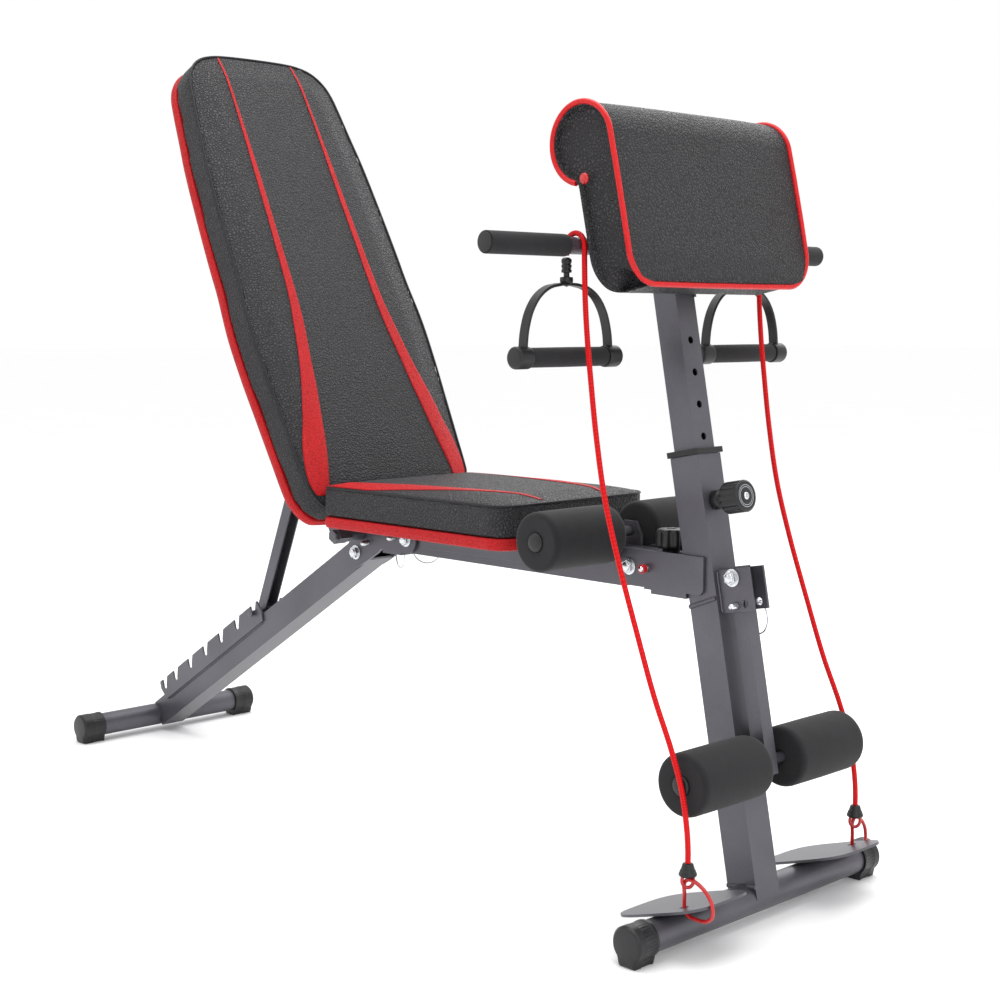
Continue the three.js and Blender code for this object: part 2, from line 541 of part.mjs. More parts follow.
for (const [side, s] of [['right', -1], ['left', 1]]) {
  const y = s * ROPE_Y;
  part(frame, `rope_${side}`, new THREE.ExtrudeGeometry(circle(ROPE_R, 8),
    { steps: 64, extrudePath: ropeCurve(y), bevelEnabled: false }), redRope());
  part(frame, `rope_stop_${side}`,
    latheY([[0, 89.5], [9, 89.5], [10, 91], [8.5, 95], [5.5, 103], [0, 103]], 20)
      .rotateX(Math.PI / 2).translate(115, y, 0), black());
  const ring = [[150.8, 55], [150.5, 70], [150.4, 81], [154.5, 86], [163, 84.5], [172.5, 76],
    [177, 66], [177.2, 54], [172, 47.4], [162, 46], [153.5, 48]];
  const hook = new THREE.CatmullRomCurve3(ring.map(([a, z]) => new THREE.Vector3(111.5, s * a, z)), true);
  part(frame, `snap_hook_${side}`, new THREE.ExtrudeGeometry(circle(1.6, 8),
    { steps: 40, extrudePath: hook, bevelEnabled: false }), redRope());

  const x = -62.3;
  const strap = [[64.5, 636], [64.2, 655], [58, 675], [46, 691], [30, 701], [12, 704.2], [0, 704.5]];
  const line = [...strap.map(([a, z]) => [-a, z]), ...strap.slice(0, -1).reverse()];
  const inset = line.map(([a, z], i) => {
    const p = line[Math.max(i - 1, 0)];
    const q = line[Math.min(i + 1, line.length - 1)];
    const n = Math.hypot(q[0] - p[0], q[1] - p[1]);
    return [a + 3.2 * (q[1] - p[1]) / n, z - 3.2 * (q[0] - p[0]) / n];
  });
  const yoke = new THREE.Shape([...line, ...inset.reverse()].map(([a, z]) => new THREE.Vector2(y + a, z)));
  const strapSolid = new THREE.ExtrudeGeometry(yoke, { depth: 13, bevelEnabled: false })
    .rotateX(Math.PI / 2).rotateZ(Math.PI / 2).translate(x - 6.5, 0, 0);
  const ferrule = latheY([[0, 700], [6.5, 703], [7, 710.5], [3, 711], [3, 715], [5.5, 715.3], [5.5, 729.5],
    [3.5, 731.5], [0, 731.5]], 20).rotateX(Math.PI / 2).translate(x, y, 0);
  part(frame, `d_handle_yoke_${side}`, unite(strapSolid, ferrule), black());
  part(frame, `d_handle_grip_${side}`,
    latheY([[0, -79], [9, -79], [10.6, -77], [10.6, 77], [9, 79], [0, 79]], 20).translate(x, y, 624.8), foam());
}

export default bench;
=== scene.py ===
# Folding decline sit-up bench with a preacher pad, leg rollers and elastic pull ropes.
# Metres, +Z up, +X towards the front post, +Y to the sitter's left.
import json
import math
import bpy
import bmesh
import numpy as np
from mathutils import Matrix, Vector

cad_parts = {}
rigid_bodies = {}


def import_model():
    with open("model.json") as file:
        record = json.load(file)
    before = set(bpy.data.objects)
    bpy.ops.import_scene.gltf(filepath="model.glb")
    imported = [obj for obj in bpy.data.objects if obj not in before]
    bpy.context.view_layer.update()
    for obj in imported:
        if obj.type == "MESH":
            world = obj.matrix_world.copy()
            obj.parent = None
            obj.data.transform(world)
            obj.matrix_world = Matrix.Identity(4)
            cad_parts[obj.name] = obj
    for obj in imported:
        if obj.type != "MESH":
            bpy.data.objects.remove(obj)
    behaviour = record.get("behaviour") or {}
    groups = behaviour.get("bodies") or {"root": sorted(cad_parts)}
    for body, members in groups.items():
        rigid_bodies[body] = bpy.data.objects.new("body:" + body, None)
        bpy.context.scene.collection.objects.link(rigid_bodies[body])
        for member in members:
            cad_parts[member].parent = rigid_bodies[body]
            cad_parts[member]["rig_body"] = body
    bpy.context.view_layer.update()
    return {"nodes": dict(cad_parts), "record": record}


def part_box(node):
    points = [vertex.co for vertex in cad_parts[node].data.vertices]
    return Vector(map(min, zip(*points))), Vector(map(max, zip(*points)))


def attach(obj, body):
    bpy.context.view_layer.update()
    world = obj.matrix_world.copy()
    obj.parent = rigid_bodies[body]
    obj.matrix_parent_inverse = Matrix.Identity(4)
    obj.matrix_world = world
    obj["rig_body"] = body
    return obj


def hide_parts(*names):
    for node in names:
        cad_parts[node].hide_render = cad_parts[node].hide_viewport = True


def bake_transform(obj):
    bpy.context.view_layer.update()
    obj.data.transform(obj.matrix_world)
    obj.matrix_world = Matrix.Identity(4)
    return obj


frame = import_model()
scene = bpy.context.scene

# ---- studio --------------------------------------------------------------------------------------
# A pale seamless floor under a large overhead softbox, with weaker panels in front and at the side.
CAMERA = (1.68611, -1.42605, 0.65844)
FOCAL_MM, SENSOR_MM = 59.02, 36.0
YAW, PITCH, ROLL = (math.radians(a) for a in (46.649, 6.060, -0.160))
forward = np.array([-math.sin(YAW) * math.cos(PITCH), math.cos(YAW) * math.cos(PITCH), -math.sin(PITCH)])
level = np.array([math.cos(YAW), math.sin(YAW), 0.0])
upright = np.cross(level, forward)
sideways = math.cos(ROLL) * level + math.sin(ROLL) * upright
overhead = math.cos(ROLL) * upright - math.sin(ROLL) * level
lens = bpy.data.cameras.new("camera")
lens.lens, lens.sensor_width = FOCAL_MM, SENSOR_MM
camera = bpy.data.objects.new("camera", lens)
scene.collection.objects.link(camera)
camera.matrix_world = Matrix([[*row, place] for row, place in zip(
    np.stack([sideways, overhead, -forward], 1).tolist(), CAMERA)] + [[0, 0, 0, 1]])
scene.camera = camera
scene.view_settings.view_transform = "Standard"


def linear(code):
    """Linear RGBA of an sRGB hex colour: each channel through the sRGB curve."""
    channels = [int(code[i:i + 2], 16) / 255 for i in (1, 3, 5)]
    return [*(c / 12.92 if c <= 0.04045 else ((c + 0.055) / 1.055) ** 2.4 for c in channels), 1.0]


def add(tree, kind, values=(), links=(), **settings):
    """Adds one node: settings are its properties, values its own sockets, links what feeds its sockets."""
    node = tree.nodes.new(kind)
    for name, value in settings.items():
        setattr(node, name, value)
    for name, value in dict(values).items():
        node.inputs[name].default_value = value
    for name, source in dict(links).items():
        tree.links.new(source, node.inputs[name])
    return node


def finish(name, **values):
    """A new material with one principled shader; values are set on the shader's own sockets."""
    material = bpy.data.materials.new(name)
    material.use_nodes = True
    tree = material.node_tree
    shader = tree.nodes["Principled BSDF"]
    for socket, value in values.items():
        shader.inputs[socket.replace("_", " ")].default_value = value
    place = add(tree, "ShaderNodeTexCoord").outputs["Object"]
    return material, tree, shader, place


def feed(tree, shader, **links):
    """Joins finished patterns to the shader's sockets."""
    for socket, source in links.items():
        tree.links.new(source, shader.inputs[socket.replace("_", " ")])


def softbox(name, place, aim, width, height, power):
    """A rectangular lamp at a place, turned to face the aim point."""
    lamp = bpy.data.lights.new(name, "AREA")
    lamp.shape, lamp.size, lamp.size_y, lamp.energy = "RECTANGLE", width, height, power
    thing = bpy.data.objects.new(name, lamp)
    scene.collection.objects.link(thing)
    z = np.array(place, float) - np.array(aim, float)
    z /= np.linalg.norm(z)
    x = np.cross([0.0, 0.0, 1.0] if abs(z[2]) < 0.95 else [0.0, 1.0, 0.0], z)
    x /= np.linalg.norm(x)
    thing.matrix_world = Matrix([[*row, p] for row, p in zip(
        np.stack([x, np.cross(z, x), z], 1).tolist(), place)] + [[0, 0, 0, 1]])


softbox("ceiling_softbox", (0.1, 0.1, 2.7), (0, 0, 0.4), 2.6, 2.2, 50)
softbox("front_panel", (2.6, -0.9, 1.5), (0, 0, 0.5), 1.4, 1.6, 9)
softbox("back_panel", (-0.6, 2.6, 2.0), (0, 0, 0.6), 2.4, 1.4, 24)
softbox("left_panel", (-1.6, -2.2, 1.4), (-0.2, 0, 0.5), 1.4, 1.4, 4)
world = bpy.data.worlds.new("pale_room")
scene.world = world
world.use_nodes = True
world.node_tree.nodes["Background"].inputs["Color"].default_value = (1, 1, 1, 1)
world.node_tree.nodes["Background"].inputs["Strength"].default_value = 1.0

FLOOR_HALF = 40.0
floor_mesh = bpy.data.meshes.new("floor")
floor_mesh.from_pydata([(x * FLOOR_HALF, y * FLOOR_HALF, 0) for x, y in ((-1, -1), (1, -1), (1, 1), (-1, 1))],
                       [], [(0, 1, 2, 3)])
floor = bpy.data.objects.new("floor", floor_mesh)
scene.collection.objects.link(floor)
paper, tree, shader, place = finish("matt_background_paper", Roughness=0.9, Specular_IOR_Level=0.1)
# Uncoated white paper: no gloss, and a tint that drifts a little every half metre.
mottle = add(tree, "ShaderNodeTexNoise", {"Scale": 2.0}, {"Vector": place})
tint = add(tree, "ShaderNodeMix", {6: linear("#fdfdfe"), 7: linear("#ffffff")}, {0: mottle.outputs[0]},
           data_type="RGBA")
feed(tree, shader, Base_Color=tint.outputs[2])
floor_mesh.materials.append(paper)

# ---- elastic pull ropes --------------------------------------------------------------------------
# A latex core in a braided red sleeve, one each side. It hangs over the handle bar beside the D handle
# and runs down to the foot pedal, where a clip holds its end.
# Places along the bench are measured from a plumb line through the top of the front post, CX ahead of the
# frame's middle.
CX = 0.50215
ROPE_Y, ROPE_R = 0.150, 0.003
BAR_X, BAR_Z, ROPE_LOOP = -0.0491, 0.7435, 0.0134


def spline(points, per_span=10, closed=False):
    """Centripetal Catmull-Rom through the points: knots grow with the square root of each gap."""
    p = np.array(points, float)
    if closed:
        p = np.concatenate([p[-1:], p, p[:2]])
    else:
        p = np.concatenate([[2 * p[0] - p[1]], p, [2 * p[-1] - p[-2]]])
    a, b, c, d = p[:-3, None], p[1:-2, None], p[2:-1, None], p[3:, None]
    gap = lambda q, r: np.maximum(np.sqrt(np.linalg.norm(q - r, axis=-1, keepdims=True)), 1e-6)
    ta, tb = 0.0, gap(a, b)
    tc = tb + gap(b, c)
    td = tc + gap(c, d)
    t = tb + (tc - tb) * np.linspace(0, 1, per_span, endpoint=False)[None, :, None]
    ab, bc, cd = ((tb - t) * a + (t - ta) * b) / (tb - ta), ((tc - t) * b + (t - tb) * c) / (tc - tb), \
        ((td - t) * c + (t - tc) * d) / (td - tc)
    abc, bcd = ((tc - t) * ab + (t - ta) * bc) / (tc - ta), ((td - t) * bc + (t - tb) * cd) / (td - tb)
    line = (((tc - t) * abc + (t - tb) * bcd) / (tc - tb)).reshape(-1, p.shape[1])
    return line if closed else np.concatenate([line, p[-2:-1]])


def surface(name, body, material, points, wrap=(False, True), uv_size=None, caps=False):
    """A skin over a grid of points [rows, columns, xyz]: quads join neighbours, round where it wraps.
    Doubles are merged, which closes seams and poles, and faces are turned outwards."""
    rows, columns = points.shape[:2]
    i, j = np.meshgrid(np.arange(rows - (not wrap[0])), np.arange(columns - (not wrap[1])), indexing="ij")
    corner = lambda di, dj: ((i + di) % rows) * columns + (j + dj) % columns
    faces = np.stack([corner(0, 0), corner(0, 1), corner(1, 1), corner(1, 0)], -1).reshape(-1, 4).tolist()
    if caps:
        faces += [list(range(columns))[::-1], list(range((rows - 1) * columns, rows * columns))]
    mesh = bpy.data.meshes.new(name)
    mesh.from_pydata(points.reshape(-1, 3).tolist(), [], faces)
    if uv_size is not None:
        across, along = uv_size
        uv = np.stack([np.stack([(j + dj) * across / columns, (i + di) * along / rows], -1)
                       for di, dj in ((0, 0), (0, 1), (1, 1), (1, 0))], 2).reshape(-1, 2)
        if caps:
            uv = np.concatenate([uv, np.zeros((2 * columns, 2))])
        mesh.uv_layers.new(name="along").data.foreach_set("uv", uv.astype(np.float32).ravel())
    shell = bmesh.new()
    shell.from_mesh(mesh)
    bmesh.ops.remove_doubles(shell, verts=shell.verts, dist=2e-6)
    bmesh.ops.recalc_face_normals(shell, faces=shell.faces)
    shell.to_mesh(mesh)
    shell.free()
    mesh.shade_smooth()
    mesh.set_sharp_from_angle(angle=math.radians(40))
    thing = bpy.data.objects.new(name, mesh)
    scene.collection.objects.link(thing)
    mesh.materials.append(material)
    if body:
        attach(thing, body)
    return thing


def sweep(line, section, across, closed=False):
    """Carries a section (p, q) along a line: p is laid along 'across' made square to the line, q along
    the direction square to both."""
    line = np.array(line, float)
    ahead = np.roll(line, -1, 0) - np.roll(line, 1, 0) if closed else np.gradient(line, axis=0)
    ahead /= np.linalg.norm(ahead, axis=1, keepdims=True)
    p = np.broadcast_to(np.array(across, float), line.shape)
    p = p - (p * ahead).sum(1, keepdims=True) * ahead
    p = p / np.linalg.norm(p, axis=1, keepdims=True)
    q = np.cross(ahead, p)
    section = np.array(section, float)
    return line[:, None] + section[None, :, 0:1] * p[:, None] + section[None, :, 1:2] * q[:, None]


def ring(radius, n=16):
    """n points round a circle."""
    a = np.arange(n) * 2 * np.pi / n
    return np.stack([radius * np.cos(a), radius * np.sin(a)], 1)


sleeve, tree, shader, place = finish("braided_polyester_sleeve", Roughness=0.5, Specular_IOR_Level=0.2)
# Woven over the core: strands cross in a diamond pattern, and painted shade darkens the valleys between them.
# The strands are drawn 4 mm apart, coarser than the real 1.5 mm, so that they show.
STRAND = 0.004
uv = add(tree, "ShaderNodeSeparateXYZ", links={0: add(tree, "ShaderNodeTexCoord").outputs["UV"]})
strands = []
for turn in (1, -1):
    slant = add(tree, "ShaderNodeMath", {1: turn * 6 * math.pi}, {0: uv.outputs[0]}, operation="MULTIPLY")
    phase = add(tree, "ShaderNodeMath", {1: 2 * math.pi / STRAND}, {0: uv.outputs[1], 2: slant.outputs[0]},
                operation="MULTIPLY_ADD")
    strands.append(add(tree, "ShaderNodeMath", links={0: phase.outputs[0]}, operation="SINE").outputs[0])
cross = add(tree, "ShaderNodeMath", links={0: strands[0], 1: strands[1]}, operation="MULTIPLY")
height = add(tree, "ShaderNodeMapRange", {"From Min": -1, "From Max": 1}, {"Value": cross.outputs[0]})
# The red is painted shade: darker in the valleys where the strands dip, lighter on their crowns.
red = add(tree, "ShaderNodeMix", {6: linear("#a80309"), 7: linear("#e0070e")}, {0: height.outputs[0]},
          data_type="RGBA")
bump = add(tree, "ShaderNodeBump", {"Strength": 0.5, "Distance": 0.0004}, {"Height": height.outputs[0]})
feed(tree, shader, Base_Color=red.outputs[2], Normal=bump.outputs[0])

# The route (x, z): up from the handle, round the bar, and down to the pedal in a slack curve.
rope_turn = np.radians(np.linspace(172, 8, 10))
ROPE_RUN = [(-0.0623, 0.7334),
            *zip(BAR_X + ROPE_LOOP * np.cos(rope_turn), BAR_Z + ROPE_LOOP * np.sin(rope_turn)),
            (-0.0356, 0.728), (-0.0344, 0.686), (-0.031, 0.643), (-0.026, 0.601), (-0.0175, 0.540),
            (-0.0045, 0.4734), (0.0147, 0.4107), (0.042, 0.336), (0.067, 0.271), (0.091, 0.2189),
            (0.1055, 0.1791), (0.1132, 0.1381), (0.1149, 0.1172), (0.115, 0.1034)]
rope_xz = spline(ROPE_RUN)
for hand, s in (("right", -1), ("left", 1)):
    line = np.stack([rope_xz[:, 0] + CX, np.full(len(rope_xz), s * ROPE_Y), rope_xz[:, 1]], 1)
    rope_length = float(np.linalg.norm(np.diff(line, axis=0), axis=1).sum())
    rope = surface(f"pull_rope_{hand}", None, sleeve,
                   sweep(line, ring(ROPE_R), (0, 1, 0)), uv_size=(1.0, rope_length), caps=True)
    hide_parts(f"rope_{hand}")
    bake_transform(rope)

# ---- rope stops and snap hooks -------------------------------------------------------------------
# A moulded nylon cone holds the rope's knot; a hook of 3 mm red-dipped wire joins it to the pedal.


def rounded(points, radius, n=5):
    """An open line with each inner corner swapped for a short quadratic curve of that size."""
    p = [np.array(q, float) for q in points]
    out = [p[0]]
    for before, corner, after in zip(p, p[1:], p[2:]):
        near, far = (min(radius, 0.45 * np.linalg.norm(q - corner)) for q in (before, after))
        a = corner + (before - corner) / max(np.linalg.norm(before - corner), 1e-9) * near
        b = corner + (after - corner) / max(np.linalg.norm(after - corner), 1e-9) * far
        t = np.linspace(0, 1, n)[:, None]
        out.extend((1 - t) ** 2 * a + 2 * t * (1 - t) * corner + t ** 2 * b)
    return np.array(out + [p[-1]])


def turned(profile, centre, axis, n=48, wave=None):
    """A profile (radius, height) spun about an axis through the centre; wave(angle, height) scales the
    radius, for flutes and lobes."""
    axis = np.array(axis, float) / np.linalg.norm(axis)
    p = np.cross(axis, [0.0, 1.0, 0.0] if abs(axis[1]) < 0.9 else [1.0, 0.0, 0.0])
    p /= np.linalg.norm(p)
    q = np.cross(axis, p)
    a = np.arange(n) * 2 * np.pi / n
    r, h = np.array(profile, float).T
    r = r[:, None] * (1 if wave is None else wave(a[None, :], h[:, None]))
    return (np.array(centre, float) + h[:, None, None] * axis
            + r[..., None] * (np.cos(a)[None, :, None] * p + np.sin(a)[None, :, None] * q))


moulded, tree, shader, place = finish("moulded_black_nylon", Roughness=0.42, Specular_IOR_Level=0.45)
# Spark-eroded tool finish: an even fine pebble, drawn at 1.2 mm, that keeps the highlights broad.
grit = add(tree, "ShaderNodeTexNoise", {"Scale": 1 / 0.0012, "Detail": 3.0}, {"Vector": place})
cloud = add(tree, "ShaderNodeTexNoise", {"Scale": 1 / 0.05}, {"Vector": place})
black = add(tree, "ShaderNodeMix", {6: linear("#0f0f11"), 7: linear("#19191c")}, {0: cloud.outputs[0]},
            data_type="RGBA")
dull = add(tree, "ShaderNodeMapRange", {"To Min": 0.34, "To Max": 0.5}, {"Value": grit.outputs[0]})
bump = add(tree, "ShaderNodeBump", {"Strength": 0.18, "Distance": 0.0003}, {"Height": grit.outputs[0]})
feed(tree, shader, Base_Color=black.outputs[2], Roughness=dull.outputs[0], Normal=bump.outputs[0])

dipped, tree, shader, place = finish("red_dipped_steel_wire", Roughness=0.3, Coat_Weight=0.4,
                                     Coat_Roughness=0.2)
# Vinyl dip over wire: a glossy even red with slight runs.
runs = add(tree, "ShaderNodeTexNoise", {"Scale": 1 / 0.006}, {"Vector": place})
red = add(tree, "ShaderNodeMix", {6: linear("#a6080e"), 7: linear("#cc1016")}, {0: runs.outputs[0]},
          data_type="RGBA")
bump = add(tree, "ShaderNodeBump", {"Strength": 0.15, "Distance": 0.0004}, {"Height": runs.outputs[0]})
feed(tree, shader, Base_Color=red.outputs[2], Normal=bump.outputs[0])

HOOK_X, HOOK_REACH = CX + 0.1115, 1.4
# Round the hook (y, z), and up the cone (radius, z).
HOOK = [(0.1508, 0.055), (0.1505, 0.070), (0.1504, 0.081), (0.1545, 0.086), (0.163, 0.0845),
        (0.1725, 0.076), (0.177, 0.066), (0.1772, 0.054), (0.172, 0.0474), (0.162, 0.046), (0.1535, 0.048)]
CONE = [(0, 0.0895), (0.009, 0.0895), (0.0098, 0.0915), (0.0084, 0.0945), (0.0084, 0.0955),
        (0.0074, 0.0965), (0.0055, 0.103), (0, 0.103)]
on_rope = {"right": [], "left": []}
for hand, s in (("right", -1), ("left", 1)):
    cone = surface(f"rope_end_cone_{hand}", "front_post", moulded,
                   turned(rounded(CONE, 0.001), (CX + 0.115, s * ROPE_Y, 0), (0, 0, 1)))
    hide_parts(f"rope_stop_{hand}")
    # The left hook reaches outwards past the pedal's end, the right one forwards past its front edge.
    bent = [(HOOK_X, y, z) if hand == "left" else (HOOK_X + HOOK_REACH * (y - HOOK[0][0]), -0.1506, z)
            for y, z in HOOK]
    eye = spline(bent, 12, closed=True)
    hook = surface(f"pedal_hook_{hand}", "front_post", dipped,
                   sweep(eye, ring(0.0021, 12), (1, 0, 0) if hand == "left" else (0, 1, 0), closed=True),
                   wrap=(True, True))
    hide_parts(f"snap_hook_{hand}")
    a = np.arange(48) * 2 * np.pi / 48
    knot = np.stack([CX + 0.115 + 0.0042 * np.cos(a), s * ROPE_Y + 0.0042 * np.cos(a),
                     0.0845 + 0.0075 * np.sin(a)], 1)
    loop = surface(f"rope_end_loop_{hand}", "front_post", dipped,
                   sweep(knot, ring(0.0019, 12), (1, -1, 0), closed=True), wrap=(True, True))
    on_rope[hand] += [cone, hook, loop]

# ---- D handles -----------------------------------------------------------------------------------
# A bent nylon strap hangs from a ribbed ferrule on the rope; a foam-covered rod with end caps crosses it.
foam, tree, shader, place = finish("closed_cell_nitrile_foam", Roughness=0.88, Specular_IOR_Level=0.3,
                                   Sheen_Weight=0.08, Sheen_Roughness=0.6)
# Skived foam: fine open pores drawn at 2 mm, matt and very slightly mottled.
pores = add(tree, "ShaderNodeTexVoronoi", {"Scale": 1 / 0.002}, {"Vector": place}, feature="F1")
mottle = add(tree, "ShaderNodeTexNoise", {"Scale": 1 / 0.012, "Detail": 4.0}, {"Vector": place})
black = add(tree, "ShaderNodeMix", {6: linear("#131214"), 7: linear("#1e1d20")}, {0: mottle.outputs[0]},
            data_type="RGBA")
bump = add(tree, "ShaderNodeBump", {"Strength": 0.35, "Distance": 0.0004}, {"Height": pores.outputs[0]})
feed(tree, shader, Base_Color=black.outputs[2], Normal=bump.outputs[0])

HANDLE_X, GRIP_Z = CX - 0.0623, 0.6248
# One half of the strap (y, z), its section, and up the ferrule (radius, z).
STRAP = [(-0.0655, 0.622), (-0.0650, 0.640), (-0.0628, 0.655), (-0.0565, 0.6735), (-0.045, 0.6892),
         (-0.0295, 0.6990), (-0.012, 0.7026)]
FERRULE = [(0, 0.700), (0.0065, 0.703), (0.0072, 0.7065), (0.007, 0.7105), (0.0032, 0.711),
           (0.0032, 0.715), (0.0056, 0.7155), (0.0056, 0.7185), (0.0049, 0.719), (0.0049, 0.7205),
           (0.0056, 0.721), (0.0056, 0.7235), (0.0049, 0.724), (0.0049, 0.7255), (0.0056, 0.726),
           (0.0056, 0.7295), (0.0035, 0.7315), (0, 0.7315)]
strap_half = spline(STRAP, 8)
strap_line = np.concatenate([strap_half, [[0, 0.7032]], strap_half[::-1] * [-1, 1]])
STRAP_SECTION = [(0.0064, 0.0008), (0.0056, 0.0016), (-0.0056, 0.0016), (-0.0064, 0.0008),
                 (-0.0064, -0.0008), (-0.0056, -0.0016), (0.0056, -0.0016), (0.0064, -0.0008)]
for hand, s in (("right", -1), ("left", 1)):
    body = f"d_handle_{hand}"
    line = np.stack([np.full(len(strap_line), HANDLE_X), s * ROPE_Y + strap_line[:, 0], strap_line[:, 1]], 1)
    strap = surface(f"{body}_strap", body, moulded,
                    sweep(line, STRAP_SECTION, (1, 0, 0)), caps=True)
    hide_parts(f"d_handle_yoke_{hand}")
    ferrule = surface(f"{body}_ferrule", body, moulded,
                      turned(rounded(FERRULE, 0.0004, 3), (HANDLE_X, s * ROPE_Y, 0), (0, 0, 1), 32))
    hub = (HANDLE_X, s * ROPE_Y, GRIP_Z)
    sponge = surface(f"{body}_sponge", body, foam, turned(rounded(
        [(0, -0.0585), (0.0106, -0.0585), (0.0108, 0), (0.0106, 0.0585), (0, 0.0585)], 0.0015), hub, (0, 1, 0)))
    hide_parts(f"d_handle_grip_{hand}")
    on_rope[hand] += [strap, ferrule, sponge]
    for end, e in (("inner", -s), ("outer", s)):
        cap = surface(f"{body}_cap_{end}", body, moulded, turned(rounded(
            [(0, 0.0588), (0.0118, 0.0588), (0.0121, 0.0605), (0.0121, 0.0775), (0.0098, 0.0795),
             (0, 0.0798)], 0.0012), hub, (0, e, 0)))
        on_rope[hand].append(cap)

# ---- steel frame ---------------------------------------------------------------------------------
# Square and round steel tube, laser-cut plates and folded brackets, welded and powder coated in a satin
# gunmetal. Each keeps its cut shape, with the edges that the coat rounds off.
coat, tree, shader, place = finish("powder_coated_steel", Metallic=0.55, Roughness=0.4,
                                   Specular_IOR_Level=0.5, Coat_Weight=0.15, Coat_Roughness=0.3)
# Cured powder: a fine metallic fleck and a soft orange peel, drawn at 2.5 mm, dulled a little in clouds.
fleck = add(tree, "ShaderNodeTexNoise", {"Scale": 1 / 0.0012, "Detail": 2.0}, {"Vector": place})
peel = add(tree, "ShaderNodeTexNoise", {"Scale": 1 / 0.0025, "Detail": 1.0}, {"Vector": place})
cloud = add(tree, "ShaderNodeTexNoise", {"Scale": 1 / 0.09, "Detail": 3.0}, {"Vector": place})
dust = add(tree, "ShaderNodeMath", {1: 0.55}, {0: fleck.outputs[0], 2: cloud.outputs[0]},
           operation="MULTIPLY_ADD")
level_dust = add(tree, "ShaderNodeMapRange", {"From Min": 0.5, "From Max": 1.05}, {"Value": dust.outputs[0]})
grey = add(tree, "ShaderNodeMix", {6: linear("#4b4a50"), 7: linear("#5f5e65")}, {0: level_dust.outputs[0]},
           data_type="RGBA")
dull = add(tree, "ShaderNodeMapRange", {"To Min": 0.33, "To Max": 0.5}, {"Value": cloud.outputs[0]})
bump = add(tree, "ShaderNodeBump", {"Strength": 0.12, "Distance": 0.0003}, {"Height": peel.outputs[0]})
feed(tree, shader, Base_Color=grey.outputs[2], Roughness=dull.outputs[0], Normal=bump.outputs[0])


def eased(node, material, width=0.0008):
    """A merged copy of a CAD node in the same place, its flat faces joined and its sharp edges rounded."""
    source = frame["nodes"][node]
    mesh = source.data.copy()
    mesh.materials.clear()
    mesh.materials.append(material)
    shell = bmesh.new()
    shell.from_mesh(mesh)
    bmesh.ops.remove_doubles(shell, verts=shell.verts, dist=1e-6)
    bmesh.ops.dissolve_limit(shell, angle_limit=math.radians(1), verts=shell.verts, edges=shell.edges)
    shell.to_mesh(mesh)
    shell.free()
    mesh.shade_smooth()
    mesh.set_sharp_from_angle(angle=math.radians(32))
    thing = bpy.data.objects.new(f"{node}_finished", mesh)
    scene.collection.objects.link(thing)
    soften = thing.modifiers.new("eased_edges", "BEVEL")
    soften.width, soften.segments, soften.limit_method = width, 2, "ANGLE"
    soften.angle_limit, soften.harden_normals = math.radians(32), True
    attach(thing, source["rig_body"])
    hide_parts(node)
    return thing


# How far each piece's edges are rounded.
TUBES = {"main_beam": 0.0022, "front_post": 0.0022, "preacher_post": 0.0018, "rear_leg": 0.0022,
         "leg_arm": 0.0018, "front_foot_tube": 0.0004, "rear_foot_tube": 0.0004, "foot_pedal_right": 0.0008,
         "foot_pedal_left": 0.0008, "arm_bracket": 0.0008, "upper_axle_saddle": 0.0008,
         "front_bracket": 0.0009, "rear_bracket": 0.0009, "seat_rail_right": 0.0009, "seat_rail_left": 0.0009,
         "ladder_plate_right": 0.0006, "ladder_plate_left": 0.0006, "backrest_frame": 0.0018,
         "prop_strut": 0.0008, "lower_axle": 0.0006, "upper_axle": 0.0006, "handle_bar": 0.0005}
for node, width in TUBES.items():
    eased(node, coat, width)

# ---- weld beads ----------------------------------------------------------------------------------
# Where a plate or tube meets another, a hand-run bead of weld shows under the coat as a rippled roll.
LEAN, BACK, LEG = (math.radians(a) for a in (10.65, 27.16, 31.05))
POST_FOOT, BACK_FOOT, LEG_PIVOT = (0.10163, 0.050), (-0.54145, 0.450), (-0.592, 0.347)


def on_post(u, y, w):
    """A point by the front post: u out of its front face, w up the post from its foot."""
    x, z = POST_FOOT
    return (CX + x + u * math.cos(LEAN) - w * math.sin(LEAN), y,
            z + u * math.sin(LEAN) + w * math.cos(LEAN))


def on_back(y, t, s):
    """A point by the backrest: t up the pad from the seat, s behind its front face."""
    x, z = BACK_FOOT
    y, t, s = np.broadcast_arrays(y, t, s)
    return np.stack([CX + x - t * math.sin(BACK) - s * math.cos(BACK), y,
                     z + t * math.cos(BACK) - s * math.sin(BACK)], -1)


def on_leg(a, y, b):
    """A point by the rear leg: a up the leg from its pivot (below it, a is negative), b out of its top."""
    x, z = LEG_PIVOT
    return (CX + x + a * math.cos(LEG) - b * math.sin(LEG), y,
            z + a * math.sin(LEG) + b * math.cos(LEG))


def weld(name, body, start, end, radius=0.0024, pitch=0.003):
    """A straight bead: a round section whose radius swells and sinks along it, fading at both ends."""
    start, end = np.array(start, float), np.array(end, float)
    length = np.linalg.norm(end - start)
    n = int(length / pitch * 6)
    t = np.linspace(0, 1, n)
    line = start + (end - start) * t[:, None]
    fade = np.minimum(1, 8 * np.sqrt(t * (1 - t)) + 0.05)
    ripple = (1 + 0.12 * np.sin(2 * np.pi * t * length / pitch)) * fade
    across = np.array([0.0, 0.0, 1.0]) if abs((end - start)[2]) < 0.7 * length else np.array([0.0, 1.0, 0.0])
    even = sweep(line, ring(radius, 10), across)
    bead = line[:, None] + (even - line[:, None]) * ripple[:, None, None]
    return surface(name, body, coat, bead, caps=True)


